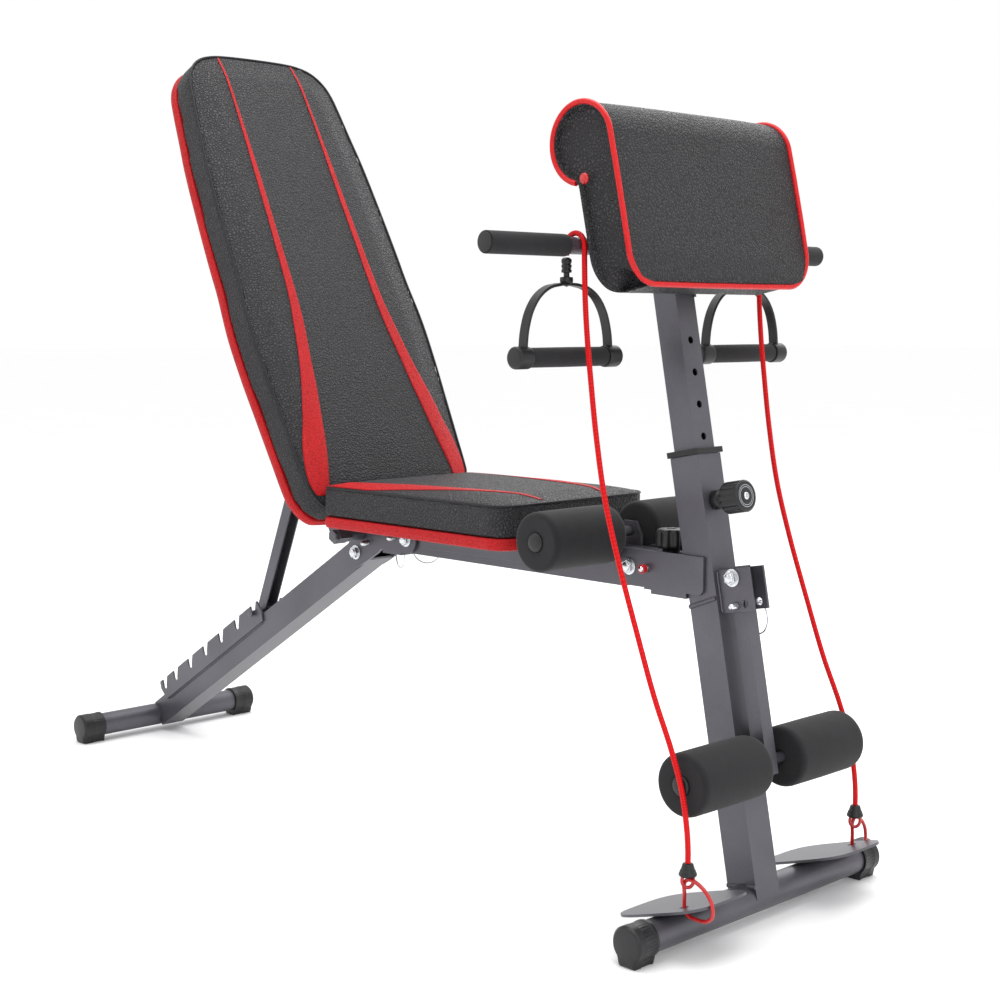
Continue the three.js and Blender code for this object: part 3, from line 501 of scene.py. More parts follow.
for hand, s in (("right", -1), ("left", 1)):
    weld(f"weld_post_cheek_{hand}", "front_post", on_post(-0.0005, s * 0.0205, 0.3135),
         on_post(-0.0405, s * 0.0205, 0.306))
    weld(f"weld_ladder_{hand}", "rear_leg", on_leg(-0.575, s * 0.0206, 0.0085),
         on_leg(-0.264, s * 0.0206, 0.0085), 0.0015)
    weld(f"weld_pad_plate_{hand}", "preacher", on_post(-0.0030, s * 0.0162, 0.668),
         on_post(-0.0030, s * 0.0162, 0.652), 0.0018)
    weld(f"weld_bracket_{hand}", "front_post", on_post(0.0008, s * 0.0145, 0.2965),
         on_post(0.0008, s * 0.0145, 0.3425), 0.0016)
    weld(f"weld_post_foot_{hand}", "front_post", on_post(0.0005, s * 0.0195, -0.008),
         on_post(-0.0405, s * 0.0195, -0.0075), 0.0026)

# ---- backrest ------------------------------------------------------------------------------------
# Moulded foam on a plywood board under black synthetic leather, with two red panels that widen downwards.
# A black piped seam runs round the front edge, and a red band covers the board's edge.
leather, tree, shader, place = finish("pebbled_synthetic_leather", Roughness=0.5, Specular_IOR_Level=0.42)
# Embossed PU on knitted cloth: round pebbles drawn at 4 mm, with painted shade that darkens the valleys and
# lifts the tops, which are also shinier.


def pebbled(tree, shader, place, valley, crown, strength, size):
    """Pebbles: distance to a Voronoi cell's edge gives height, gloss and a painted shade in the colour, darker
    in the valleys; noise bends the cells.
    """
    bend = add(tree, "ShaderNodeTexNoise", {"Scale": 0.6 / size, "Detail": 2.0}, {"Vector": place})
    warped = add(tree, "ShaderNodeMix", {0: 0.0016}, {4: place, 5: bend.outputs["Color"]}, data_type="VECTOR")
    cells = add(tree, "ShaderNodeTexVoronoi", {"Scale": 1 / size}, {"Vector": warped.outputs[1]},
                feature="DISTANCE_TO_EDGE")
    dome = add(tree, "ShaderNodeMapRange", {"From Max": 0.28}, {"Value": cells.outputs["Distance"]},
               interpolation_type="SMOOTHSTEP")
    cloud = add(tree, "ShaderNodeTexNoise", {"Scale": 1 / 0.07, "Detail": 3.0}, {"Vector": place})
    shade = add(tree, "ShaderNodeMath", {1: 0.35}, {0: cloud.outputs[0], 2: dome.outputs[0]},
                operation="MULTIPLY_ADD")
    fade = add(tree, "ShaderNodeMapRange", {"From Max": 1.3}, {"Value": shade.outputs[0]})
    # Painted shade: the valley colour where the cells meet and the crown colour on their tops, with a random
    # cloud of tone mixed in.
    colour = add(tree, "ShaderNodeMix", {6: linear(valley), 7: linear(crown)}, {0: fade.outputs[0]},
                 data_type="RGBA")
    gloss = add(tree, "ShaderNodeMapRange", {"To Min": 0.62, "To Max": 0.43}, {"Value": dome.outputs[0]})
    bump = add(tree, "ShaderNodeBump", {"Strength": strength, "Distance": 0.0016}, {"Height": dome.outputs[0]})
    feed(tree, shader, Base_Color=colour.outputs[2], Roughness=gloss.outputs[0], Normal=bump.outputs[0])


pebbled(tree, shader, place, "#161517", "#2c2b2f", 0.85, 0.0040)

red_leather, tree, shader, place = finish("red_synthetic_leather", Roughness=0.45, Specular_IOR_Level=0.25)
# The same cloth-backed PU in red with a finer emboss, drawn at 2.4 mm, and the same painted shade in its
# valleys.
pebbled(tree, shader, place, "#8c050a", "#cc0f16", 0.3, 0.0024)

dust_cover, tree, shader, place = finish("non_woven_dust_cover", Roughness=0.95, Specular_IOR_Level=0.2,
                                         Sheen_Weight=0.1)
# Spun-bonded polypropylene stapled over the back: a dotted grid of bonds drawn at 3 mm.
fibres = add(tree, "ShaderNodeTexNoise", {"Scale": 1 / 0.004, "Detail": 5.0}, {"Vector": place})
bonds = add(tree, "ShaderNodeTexVoronoi", {"Scale": 1 / 0.003, "Randomness": 0.15}, {"Vector": place})
black = add(tree, "ShaderNodeMix", {6: linear("#121213"), 7: linear("#1f1f21")}, {0: fibres.outputs[0]},
            data_type="RGBA")
bump = add(tree, "ShaderNodeBump", {"Strength": 0.3, "Distance": 0.0004}, {"Height": bonds.outputs[0]})
feed(tree, shader, Base_Color=black.outputs[2], Normal=bump.outputs[0])


def normals_of(outline):
    """Outward unit normals of a closed outline that runs anticlockwise."""
    along = np.roll(outline, -1, 0) - np.roll(outline, 1, 0)
    along /= np.linalg.norm(along, axis=1, keepdims=True)
    return np.stack([along[:, 1], -along[:, 0]], 1)


def evened(outline, n):
    """n points at equal steps round a closed outline."""
    loop = np.concatenate([outline, outline[:1]])
    run = np.concatenate([[0], np.cumsum(np.linalg.norm(np.diff(loop, axis=0), axis=1))])
    at = np.linspace(0, run[-1], n, endpoint=False)
    return np.stack([np.interp(at, run, loop[:, k]) for k in (0, 1)], 1)


def stuffed(outline, low, high, top_radius, foot_radius, crown=0.0, bulge=0.0, pinch=0.0):
    """Skin of a flat pad, as (a, b, height) over [rows, outline points]. Rows run out across the top from
    its centre, round the top edge, down the side and in across the foot. The top rises by crown in the
    middle and falls to its seam, and the side swells by bulge half way down."""
    n = len(outline)
    top_radius = np.broadcast_to(top_radius, n)
    q = np.linspace(0, 1, 26)[:-1]
    turn = np.linspace(0, np.pi / 2, 9)
    v = np.linspace(0, 1, 12)[1:-1]
    foot = np.linspace(0, np.pi / 2, 5)
    rows = [(f, top_radius, high + crown * (1 - f ** 4) - pinch * f ** 24) for f in q]
    rows += [(1.0, top_radius * (1 - np.sin(t)), high - pinch - top_radius * (1 - np.cos(t))) for t in turn]
    rows += [(1.0, np.full(n, -bulge * math.sin(math.pi * t)),
              (high - pinch - top_radius) * (1 - t) + (low + foot_radius) * t) for t in v]
    rows += [(1.0, np.full(n, foot_radius * (1 - math.cos(t))), low + foot_radius * (1 - math.sin(t)))
             for t in foot]
    rows += [(f, np.full(n, foot_radius), low) for f in np.linspace(1, 0, 10)[1:]]
    centre, out = (outline.min(0) + outline.max(0)) / 2, normals_of(outline)
    skin = [np.concatenate([centre + f * (outline - out * np.broadcast_to(inset, n)[:, None] - centre),
                            np.broadcast_to(level, n)[:, None]], 1) for f, inset, level in rows]
    return np.stack(skin)


SWELL_STEPS, SWELL_PRESSURE = 20, 4.0


def swell(pad, cell, limit, hold):
    """Cloth under pressure: remeshes the pad, blows it up step by step with no gravity, then moves each
    point no further than the limit, and not at all where hold (0 to 1 over the points) is 0."""
    finishes = list(pad.data.materials)
    bpy.context.view_layer.objects.active = pad
    remesh = pad.modifiers.new("cells", "REMESH")
    remesh.mode, remesh.voxel_size, remesh.use_smooth_shade = "VOXEL", cell, True
    with bpy.context.temp_override(object=pad, active_object=pad):
        bpy.ops.object.modifier_apply(modifier=remesh.name)
    count = len(pad.data.vertices)
    start = np.empty(count * 3)
    pad.data.vertices.foreach_get("co", start)
    start = start.reshape(-1, 3)
    cloth = pad.modifiers.new("cloth", "CLOTH")
    cloth.settings.use_pressure, cloth.settings.uniform_pressure_force = True, SWELL_PRESSURE
    cloth.settings.effector_weights.gravity = 0.0
    cloth.settings.quality = 4
    cloth.settings.tension_stiffness = cloth.settings.compression_stiffness = 25.0
    cloth.settings.bending_stiffness = 2.0
    cloth.point_cache.frame_start, cloth.point_cache.frame_end = 1, SWELL_STEPS
    for step in range(1, SWELL_STEPS + 1):
        scene.frame_set(step)
    blown = np.empty(count * 3)
    shape = pad.evaluated_get(bpy.context.evaluated_depsgraph_get()).data
    shape.vertices.foreach_get("co", blown)
    pad.modifiers.remove(cloth)
    scene.frame_set(1)
    move = blown.reshape(-1, 3) - start
    size = np.linalg.norm(move, axis=1, keepdims=True)
    move *= np.minimum(1, limit / np.maximum(size, 1e-9)) * hold(start)[:, None]
    pad.data.vertices.foreach_set("co", (start + move).ravel())
    pad.data.update()
    pad.data.materials.clear()
    for material in finishes:
        pad.data.materials.append(material)
    smooth = pad.modifiers.new("surface", "SUBSURF")
    smooth.levels = smooth.render_levels = 1


SEAM, SEAM_PULL = 0.008, 0.032


def between_seams(flat, height, outline, low, high):
    """How free a pad's points are: not at all on its seams, fully where the seam's pull ends inside the
    top's outline, and by a half sine up its side."""
    gap = np.full(len(flat), 1.0)
    for spot in outline[::3]:
        gap = np.minimum(gap, np.hypot(flat[:, 0] - spot[0], flat[:, 1] - spot[1]))
    side = np.sin(np.pi * np.clip((height - low) / (high - low), 0, 1))
    free = np.where(height > high - 0.004, np.clip((gap - SEAM) / SEAM_PULL, 0, 1), side)
    return np.where(height < low + 0.004, 0.0, free)


PANEL_LIFT, PANEL_THICK = 0.0004, 0.0008


def panel(name, body, points, onto):
    """A sewn panel: a grid laid on the pad's skin by its nearest points, with a cloth's thickness."""
    strip = surface(name, body, red_leather, points, wrap=(False, False))
    wrap = strip.modifiers.new("laid_on", "SHRINKWRAP")
    wrap.target, wrap.wrap_method, wrap.wrap_mode = onto, "NEAREST_SURFACEPOINT", "ABOVE_SURFACE"
    wrap.offset = PANEL_LIFT
    cloth = strip.modifiers.new("cloth_thickness", "SOLIDIFY")
    cloth.thickness, cloth.offset = PANEL_THICK, 0.0
    for modifier in list(strip.modifiers):
        with bpy.context.temp_override(object=strip, active_object=strip):
            bpy.ops.object.modifier_apply(modifier=modifier.name)
    return strip


def in_back(points):
    """World points of a node as (y, t, s) by the backrest."""
    dx, dz = points[:, 0] - CX - BACK_FOOT[0], points[:, 2] - BACK_FOOT[1]
    return np.stack([points[:, 1], -dx * math.sin(BACK) + dz * math.cos(BACK),
                     -dx * math.cos(BACK) - dz * math.sin(BACK)], 1)


def node_points(node):
    """A CAD node's points as an array."""
    mesh = frame["nodes"][node].data
    flat = np.empty(len(mesh.vertices) * 3)
    mesh.vertices.foreach_get("co", flat)
    return flat.reshape(-1, 3)


# The board's outline is read from its CAD node: unique points of its front face, in order round the pad.
board = in_back(node_points("backrest_board"))
edge = np.unique(np.round(board[board[:, 2] < 0.045][:, :2], 5), axis=0)
middle = (edge.min(0) + edge.max(0)) / 2
edge = edge[np.argsort(np.arctan2(edge[:, 1] - middle[1], edge[:, 0] - middle[0]))]
back_outline = evened(spline(edge, 8, closed=True), 360)
BACK_FOAM, BACK_DEPTH = 0.0408, 0.0565
lower = np.clip(-back_outline[:, 1] / 0.030 + 0.2, 0, 1)
skin = stuffed(back_outline, 0.0004, BACK_FOAM, 0.009 + 0.012 * lower, 0.003, crown=0.0045, bulge=0.0018,
               pinch=0.0012)
skin_points = on_back(skin[..., 0], skin[..., 1], BACK_FOAM - skin[..., 2])
back_pad = surface("backrest_cushion", "backrest", leather, skin_points)
swell(back_pad, 0.0064, 0.004, lambda p: between_seams(
    in_back(p)[:, :2], BACK_FOAM - in_back(p)[:, 2], back_outline, 0.0, BACK_FOAM))
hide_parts("backrest_pad")


def banded(name, body, node, points, foot_rows):
    """A board wrapped in red vinyl, its foot covered by black dust cloth on the last foot_rows rows."""
    band = surface(name, body, red_leather, points)
    band.data.materials.append(dust_cover)
    columns = points.shape[1]
    index = np.zeros(len(band.data.polygons), np.int32)
    index[(points.shape[0] - 1 - foot_rows) * columns:] = 1
    band.data.polygons.foreach_set("material_index", index)
    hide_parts(node)
    return band


rim = stuffed(back_outline, 0.0, BACK_DEPTH - BACK_FOAM - 0.0005, 0.003, 0.0035, bulge=0.0008)
banded("backrest_band", "backrest", "backrest_board",
       on_back(rim[..., 0], rim[..., 1], BACK_DEPTH - rim[..., 2]), 8)

# The red panels: inner and outer edges (t up the pad, half width there), symmetrical about the middle.
INNER = [(-0.014, 0.1120), (0.010, 0.1070), (0.050, 0.0985), (0.095, 0.0910), (0.138, 0.0840),
         (0.182, 0.0785), (0.229, 0.0720), (0.275, 0.0685), (0.370, 0.0665), (0.470, 0.0645),
         (0.560, 0.0640), (0.668, 0.0625)]
OUTER = [(-0.014, 0.1330), (0.010, 0.1385), (0.050, 0.1335), (0.095, 0.1195), (0.138, 0.1080),
         (0.182, 0.0975), (0.229, 0.0892), (0.275, 0.0820), (0.370, 0.0762), (0.470, 0.0722),
         (0.560, 0.0688), (0.668, 0.0655)]
inner, outer = spline(INNER, 12), spline(OUTER, 12)
v = np.linspace(0, 1, 9)[None, :]
y = inner[:, 1:] * (1 - v) + outer[:, 1:] * v
t = inner[:, :1] * (1 - v) + outer[:, :1] * v
for hand, s in (("right", -1), ("left", 1)):
    panel(f"backrest_red_panel_{hand}", "backrest", on_back(s * y, t, np.full(y.shape, 0.0)), back_pad)

piping, tree, shader, place = finish("black_vinyl_piping", Roughness=0.5, Specular_IOR_Level=0.3)
# A cord wrapped in smooth black vinyl: a soft line of light along its top, faint puckers from the needle.
pucker = add(tree, "ShaderNodeTexNoise", {"Scale": 1 / 0.004}, {"Vector": place})
black = add(tree, "ShaderNodeMix", {6: linear("#121214"), 7: linear("#222226")}, {0: pucker.outputs[0]},
            data_type="RGBA")
bump = add(tree, "ShaderNodeBump", {"Strength": 0.2, "Distance": 0.0004}, {"Height": pucker.outputs[0]})
feed(tree, shader, Base_Color=black.outputs[2], Normal=bump.outputs[0])
welt = back_outline - normals_of(back_outline) * (0.0035 + 0.004 * lower[:, None])
seam_line = on_back(welt[:, 0], welt[:, 1], 0.0030 + 0.0055 * lower)
surface("backrest_piping", "backrest", piping,
        sweep(seam_line, ring(0.0017, 10), (math.cos(BACK), 0, math.sin(BACK)), closed=True),
        wrap=(True, True))

# ---- seat ----------------------------------------------------------------------------------------
# The same build as the backrest, laid flat on two steel rails: black cushion, red band, tapering red panels.


def round_cornered(lo, hi, front, rear, n=360):
    """A rectangle whose corners at +x have the front radius and those at -x the rear one."""
    (x0, y0), (x1, y1) = lo, hi
    arcs = [((x1 - front, y0 + front), front, -90), ((x1 - front, y1 - front), front, 0),
            ((x0 + rear, y1 - rear), rear, 90), ((x0 + rear, y0 + rear), rear, 180)]
    turns = [np.radians(np.linspace(a, a + 90, 12)) for _, _, a in arcs]
    return evened(np.concatenate([np.array(c) + r * np.stack([np.cos(t), np.sin(t)], 1)
                                  for (c, r, _), t in zip(arcs, turns)]), n)


pad_lo, pad_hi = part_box("seat_pad")
board_lo, board_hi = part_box("seat_board")
seat_outline = round_cornered(pad_lo[:2], pad_hi[:2], 0.030, 0.012)
skin = stuffed(seat_outline, pad_lo[2] + 0.0002, pad_hi[2], 0.007, 0.003, crown=0.0035, bulge=0.0008,
               pinch=0.0010)
skin[..., 0] = np.maximum(skin[..., 0], pad_lo[0])
seat_pad = surface("seat_cushion", "beam_frame", leather, skin)
swell(seat_pad, 0.0048, 0.0035, lambda p: between_seams(p[:, :2], p[:, 2], seat_outline, pad_lo[2], pad_hi[2])
      * np.clip((p[:, 0] - pad_lo[0] - 0.004) / 0.02, 0, 1))
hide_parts("seat_pad")
banded("seat_band", "beam_frame", "seat_board", stuffed(
    seat_outline, board_lo[2], board_hi[2] + 0.0001, 0.0028, 0.0035, bulge=0.0006), 8)
# Its red panels' edges (x, half width there): straight tapers that end short of the front.
SEAT_INNER = [(-0.526, 0.1080), (-0.196, 0.0535)]
SEAT_OUTER = [(-0.526, 0.1255), (-0.440, 0.1245), (-0.196, 0.0570)]
along_x = np.linspace(SEAT_INNER[0][0], SEAT_INNER[-1][0], 90)[:, None]
inner, outer = (np.interp(along_x, *np.array(rows).T) for rows in (SEAT_INNER, SEAT_OUTER))
x = along_x + 0 * v + CX
y = inner * (1 - v) + outer * v
for hand, s in (("right", -1), ("left", 1)):
    panel(f"seat_red_panel_{hand}", "beam_frame",
          np.stack([x, s * y, np.full(x.shape, pad_hi[2])], -1), seat_pad)
welt = seat_outline - normals_of(seat_outline) * 0.0028
seam_line = np.column_stack([welt, np.full(len(welt), pad_hi[2] - 0.0030)])
surface("seat_piping", "beam_frame", piping,
        sweep(seam_line, ring(0.0015, 10), (0, 0, 1), closed=True), wrap=(True, True))

# ---- preacher pad --------------------------------------------------------------------------------
# Foam on a plywood plate, rolled over at the top into an arm rest. The leather wraps round the roll to the
# back; a red piping edges the front panel, and a red button pins the roll's end on each side.
PAD_HALF, PAD_FOOT, PAD_CORNER = 0.154, 0.653, 0.038
CURL_U, CURL_W, CURL_R = 0.0108, 0.813, 0.0423
PAD_MIDDLE, REAR_TOP, SPINE_FOOT = 0.030, 0.771, 0.675
curl = np.radians(np.linspace(6, 250, 40))
front_face = np.array([[0.0584, PAD_FOOT], [CURL_U + CURL_R * math.cos(curl[0]),
                                            CURL_W + CURL_R * math.sin(curl[0])]])
rear = lambda w: 0.0034 - (w - PAD_FOOT) * 0.0288
roll = np.stack([CURL_U + CURL_R * np.cos(curl), CURL_W + CURL_R * np.sin(curl)], 1)
profile = np.concatenate([[[PAD_MIDDLE, PAD_FOOT]], front_face, roll[1:], [
    [rear(REAR_TOP), REAR_TOP], [rear(PAD_FOOT), PAD_FOOT], [PAD_MIDDLE, PAD_FOOT]]])
profile = np.concatenate([rounded(profile[:3], 0.009, 8)[:-1], profile[2:-3],
                          rounded(profile[-4:], 0.006, 6)[1:-1]])
profile = evened(profile, 300)
outward = normals_of(profile)
mid_u = 0.5 * (front_face[0, 0] + rear(PAD_FOOT))
# Each point is led in to a line up the middle of the plate, or to the middle of the roll.
spine = np.stack([np.interp(profile[:, 1], [SPINE_FOOT, REAR_TOP, 0.800], [mid_u, 0.027, CURL_U]),
                  np.clip(profile[:, 1], SPINE_FOOT, CURL_W)], 1)
spine = np.where((profile[:, 1] > 0.790)[:, None], [[CURL_U, CURL_W]], spine)
# Rows (share of the way out from the spine, place across, inset): in the one side, round its edge, across
# the front and back, and in the other side. Side edges are rounded by SIDE.
SIDE = 0.005
in_steps = np.linspace(0, 1, 7)[:-1]
arc_steps = np.linspace(0, np.pi / 2, 7)
flat_steps = np.linspace(-1, 1, 41)[1:-1]
rows = [(q, -1.0, SIDE) for q in in_steps] + [(1.0, -1.0, SIDE * (1 - math.sin(a))) for a in arc_steps]
rows += [(1.0, f, 0.0) for f in flat_steps]
rows += [(1.0, 1.0, SIDE * (1 - math.sin(a))) for a in arc_steps[::-1]]
rows += [(q, 1.0, SIDE) for q in in_steps[::-1]]
drop = np.clip(PAD_FOOT + PAD_CORNER - profile[:, 1], 0, PAD_CORNER)
reach = PAD_HALF - PAD_CORNER + np.sqrt(np.maximum(PAD_CORNER ** 2 - drop ** 2, 0))
puff = 0.0035 * np.clip(outward[:, 0], 0, 1) * np.clip((profile[:, 1] - PAD_FOOT) / 0.03, 0, 1)
skin = []
for q, side, inset in rows:
    crown = puff * (1 - min(abs(side), 1.0) ** 4)
    loop = profile - outward * inset + outward * crown[:, None]
    loop = spine + (loop - spine) * q
    y = side * (reach - (SIDE - math.sqrt(max(SIDE ** 2 - inset ** 2, 0)) if abs(side) >= 1 else 0.0))
    skin.append(np.stack(on_post(loop[:, 0], y, loop[:, 1]), -1))
preacher_pad = surface("preacher_cushion", "preacher", leather, np.stack(skin))
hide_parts("preacher_pad")

red_piping, tree, shader, place = finish("red_vinyl_piping", Roughness=0.38, Specular_IOR_Level=0.35)
# Glossy red vinyl over a cord, with slight puckers.
pucker = add(tree, "ShaderNodeTexNoise", {"Scale": 1 / 0.005}, {"Vector": place})
red = add(tree, "ShaderNodeMix", {6: linear("#ab060c"), 7: linear("#dc0d14")}, {0: pucker.outputs[0]},
          data_type="RGBA")
bump = add(tree, "ShaderNodeBump", {"Strength": 0.2, "Distance": 0.0004}, {"Height": pucker.outputs[0]})
feed(tree, shader, Base_Color=red.outputs[2], Normal=bump.outputs[0])
# It runs round the roll's rim, down the front edge and across the foot, let 1 mm into the leather.
PIPE = 0.0031
over = roll[::-1] + (roll[::-1] - [CURL_U, CURL_W]) / CURL_R * 0.0005
corner = np.linspace(0, np.pi / 2, 12)
down_w = PAD_FOOT + PAD_CORNER * (1 - np.sin(corner))
down_y = PAD_HALF - PAD_CORNER * (1 - np.cos(corner))
front_u = lambda w: np.interp(w, front_face[:, 1], front_face[:, 0])
left = np.concatenate([
    np.column_stack([over[:, 0], np.full(len(over), PAD_HALF), over[:, 1]]),
    np.column_stack([front_u(down_w), down_y, down_w])])
left[-12:, 0] -= 0.004 * np.sin(corner)
left[:, 1] -= 0.001
edging = np.concatenate([left, (left * [1, -1, 1])[::-1]])
edging = spline(edging[np.r_[True, np.linalg.norm(np.diff(edging, axis=0), axis=1) > 1e-5]], 3)
line = np.stack(on_post(edging[:, 0], edging[:, 1], edging[:, 2]), -1)
surface("preacher_piping", "preacher", red_piping,
        sweep(line, ring(PIPE, 12), (1, 1, 0)), caps=True)
for hand, s in (("right", -1), ("left", 1)):
    surface(f"preacher_button_{hand}", "preacher", dipped, turned(
        rounded([(0, 0), (0.0062, 0), (0.0062, 0.0018), (0.0044, 0.0040), (0, 0.0046)], 0.0012, 4),
        on_post(CURL_U - 0.0005, s * PAD_HALF, 0.7745), (0, s, 0), 32))

# ---- foam rollers --------------------------------------------------------------------------------
# Four foam sleeves turn on two steel axles, each held by a domed nylon end plug pressed into the axle.


def centre_of(node):
    """Middle of a node's box in x and z."""
    lo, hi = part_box(node)
    return (lo[0] + hi[0]) / 2, (lo[2] + hi[2]) / 2


def across_bench(node):
    """A part that lies across the bench: how far its near and far end are from the middle plane, and its
    radius, from its box."""
    lo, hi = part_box(node)
    return *sorted((abs(lo[1]), abs(hi[1]))), (hi[2] - lo[2]) / 2


SPONGE_SWELL = 0.0014
ROLLERS = (("lower", "leg_arm"), ("upper", "beam_frame"))
for place_name, axle_body in ROLLERS:
    for hand, s in (("right", -1), ("left", 1)):
        node = f"{place_name}_roller_{hand}"
        x, z = centre_of(node)
        hub = (x, 0.0, z)
        near, far, radius = across_bench(node)
        radius, far = radius + SPONGE_SWELL, far + SPONGE_SWELL
        dish = [(0.0066, near + 0.003), (0.012, near + 0.0005), (0.022, near), (radius, near),
                (radius + 0.0003, (near + far) / 2), (radius, far), (0.022, far), (0.012, far - 0.0005),
                (0.0066, far - 0.003), (0.0066, near + 0.003)]
        tyre = surface(node + "_sleeve", node, foam,
                       turned(rounded(dish, 0.0085, 8), hub, (0, s, 0), 72))
        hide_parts(node)
        plug = [(0.0, far - 0.004), (0.0105, far - 0.004), (0.0112, far + 0.0006), (0.0095, far + 0.0026),
                (0.006, far + 0.0036), (0.0, far + 0.0040)]
        surface(f"{place_name}_axle_plug_{hand}", axle_body, moulded,
                turned(rounded(plug, 0.0012, 4), hub, (0, s, 0), 40))

# ---- handle bar grips ----------------------------------------------------------------------------
# Foam sleeves pushed on the ends of the bar, closed by a flat nylon disc.
for hand, s in (("right", -1), ("left", 1)):
    node = f"bar_grip_{hand}"
    x, z = centre_of(node)
    hub = (x, 0.0, z)
    near, far, radius = across_bench(node)
    sleeve_line = [(0.0098, near), (0.0116, near), (radius, near + 0.004), (radius, far - 0.001),
                   (0.0098, far - 0.001), (0.0098, near)]
    grip = surface(node + "_sleeve", "preacher", foam,
                   turned(rounded(sleeve_line, 0.0015, 4), hub, (0, s, 0)))
    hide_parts(node)
    surface(f"bar_end_disc_{hand}", "preacher", moulded, turned(rounded(
        [(0, far - 0.004), (0.0096, far - 0.004), (0.0096, far - 0.0008), (0.0105, far - 0.0008),
         (0.0105, far), (0, far + 0.0004)], 0.0006, 3), hub, (0, s, 0), 40))

# ---- floor tube caps -----------------------------------------------------------------------------
# Injection-moulded nylon caps on both floor tubes: a fluted grip ring, a smooth nose and a flat to stand on.
FLUTES, SOCKET, NOSE = 30, 0.0178, 0.0035
for tube in ("front_foot", "rear_foot"):
    for hand, s in (("right", -1), ("left", 1)):
        node = f"{tube}_cap_{hand}"
        lo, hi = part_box(node)
        axis_z = centre_of(f"{tube}_tube")[1]
        hub = np.array([centre_of(node)[0], 0.0, axis_z])
        near, far, _ = across_bench(node)
        radius = (hi[0] - lo[0]) / 2
        # Round above, straight down from 48 degrees below the middle to a flat foot 22 mm wide.
        over_top = np.radians(np.linspace(-48, 228, 70))
        outline = np.concatenate([radius * np.stack([np.cos(over_top), np.sin(over_top)], 1),
                                  [[-0.011, -axis_z], [0.011, -axis_z]]])
        outline = evened(outline, 240)
        a = np.arctan2(outline[:, 1], outline[:, 0])
        line = rounded([(0.0, far), (0.86, far), (1.0, far - 0.003), (1.0, near + 0.019), (0.975, near + 0.018),
                        (0.975, near + 0.004), (1.0, near + 0.003), (1.0, near), (0.895, near)], 0.0007, 3)
        share, run = line[:, :1], line[:, 1:]
        cut = 1 - 0.018 * (0.5 + 0.5 * np.cos(FLUTES * a)) * ((run > near + 0.0045) & (run < near + 0.0175))
        shape = np.stack([hub[0] + share * cut * outline[:, 0], s * run + 0 * cut,
                          hub[2] + share * cut * outline[:, 1]], -1)
        mouth = np.stack([hub[0] + SOCKET * np.cos(a), np.full(len(a), s * near),
                          hub[2] + SOCKET * np.sin(a)], -1)
        bottom = mouth.copy()
        bottom[:, 1] = s * (far - NOSE)
        middle = np.broadcast_to(hub + [0, s * (far - NOSE), 0], bottom.shape)
        cap = surface(node + "_moulded", "front_post" if tube == "front_foot" else "rear_leg",
                      moulded, np.concatenate([shape, mouth[None], bottom[None], middle[None]]))
        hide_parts(node)

# ---- knobs and post collar -----------------------------------------------------------------------
# The spring plunger has a fluted nylon knob on a short neck; a star knob clamps the upper axle's saddle.
# The collar is a moulded bush that guides the inner post.
steel_cap, tree, shader, place = finish("polished_steel_insert", Metallic=1.0, Roughness=0.22)
# Turned bright steel: a clean highlight with a faint ring grain.
grain = add(tree, "ShaderNodeTexNoise", {"Scale": 1 / 0.002}, {"Vector": place})
dull = add(tree, "ShaderNodeMapRange", {"To Min": 0.18, "To Max": 0.3}, {"Value": grain.outputs[0]})
feed(tree, shader, Roughness=dull.outputs[0])
shader.inputs["Base Color"].default_value = linear("#cfd2d6")
plunger_axis = np.array(on_post(1, 0, 0)) - np.array(on_post(0, 0, 0))
LOCK_W = 0.4214
flute = lambda a, h: 1 - 0.085 * (0.5 + 0.5 * np.cos(14 * a)) ** 2 * ((h > 0.0205) & (h < 0.0425))
knob_line = rounded([(0, -0.003), (0.0042, -0.003), (0.0042, 0.0005), (0.011, 0.0005), (0.0112, 0.009),
                     (0.0088, 0.0115), (0.0085, 0.017), (0.0155, 0.0175), (0.018, 0.020), (0.0182, 0.0215),
                     (0.0182, 0.030), (0.0182, 0.0415), (0.0180, 0.0432), (0.0158, 0.0450), (0.0135, 0.0450),
                     (0.0130, 0.0442), (0.0085, 0.0442), (0.0080, 0.0450), (0, 0.0451)], 0.0008, 4)
knob = surface("lock_knob_fluted", "lock_knob", moulded,
               turned(knob_line, on_post(0, 0, LOCK_W), plunger_axis, 168, flute))
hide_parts("lock_knob")
surface("lock_knob_screw", "lock_knob", steel_cap, turned(rounded(
    [(0, 0.0430), (0.0044, 0.0430), (0.0044, 0.0450), (0.0030, 0.0462), (0, 0.0466)], 0.0006, 4),
    on_post(0, 0, LOCK_W), plunger_axis, 32))
for k, radius in enumerate((0.0098, 0.0120)):
    surface(f"lock_knob_line_{k + 1}", "lock_knob", steel_cap, turned(
        [(radius, 0.0440), (radius + 0.0006, 0.0440), (radius + 0.0006, 0.0445), (radius, 0.0445),
         (radius, 0.0440)], on_post(0, 0, LOCK_W), plunger_axis, 64))
knob_lo, knob_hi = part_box("clamp_knob")
lobes = lambda a, h: 1 - 0.20 * (0.5 - 0.5 * np.cos(7 * a)) ** 1.5 * (h > 0.0035)
star_line = rounded([(0, -0.013), (0.004, -0.013), (0.004, 0), (0.010, 0), (0.010, 0.0034), (0.0165, 0.005),
                     (0.018, 0.008), (0.018, 0.0225), (0.016, 0.0268), (0.006, 0.0272), (0.0055, 0.0262),
                     (0, 0.0262)], 0.0014, 4)
star = surface("clamp_knob_star", "clamp_knob", moulded, turned(
    star_line, ((knob_lo[0] + knob_hi[0]) / 2, 0.0, 0.3996), (0, 0, 1), 140, lobes))
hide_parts("clamp_knob")
eased("post_collar", moulded, 0.0009)

# ---- bolts, pins and their rings -----------------------------------------------------------------
# Cold-headed steel in bright zinc: pivot bolts with plain washers, and four quick-release pins. Each pin's
# head has a thin spring-wire ring, and the front one a red tag.
zinc, tree, shader, place = finish("zinc_plated_steel", Metallic=1.0, Roughness=0.25)
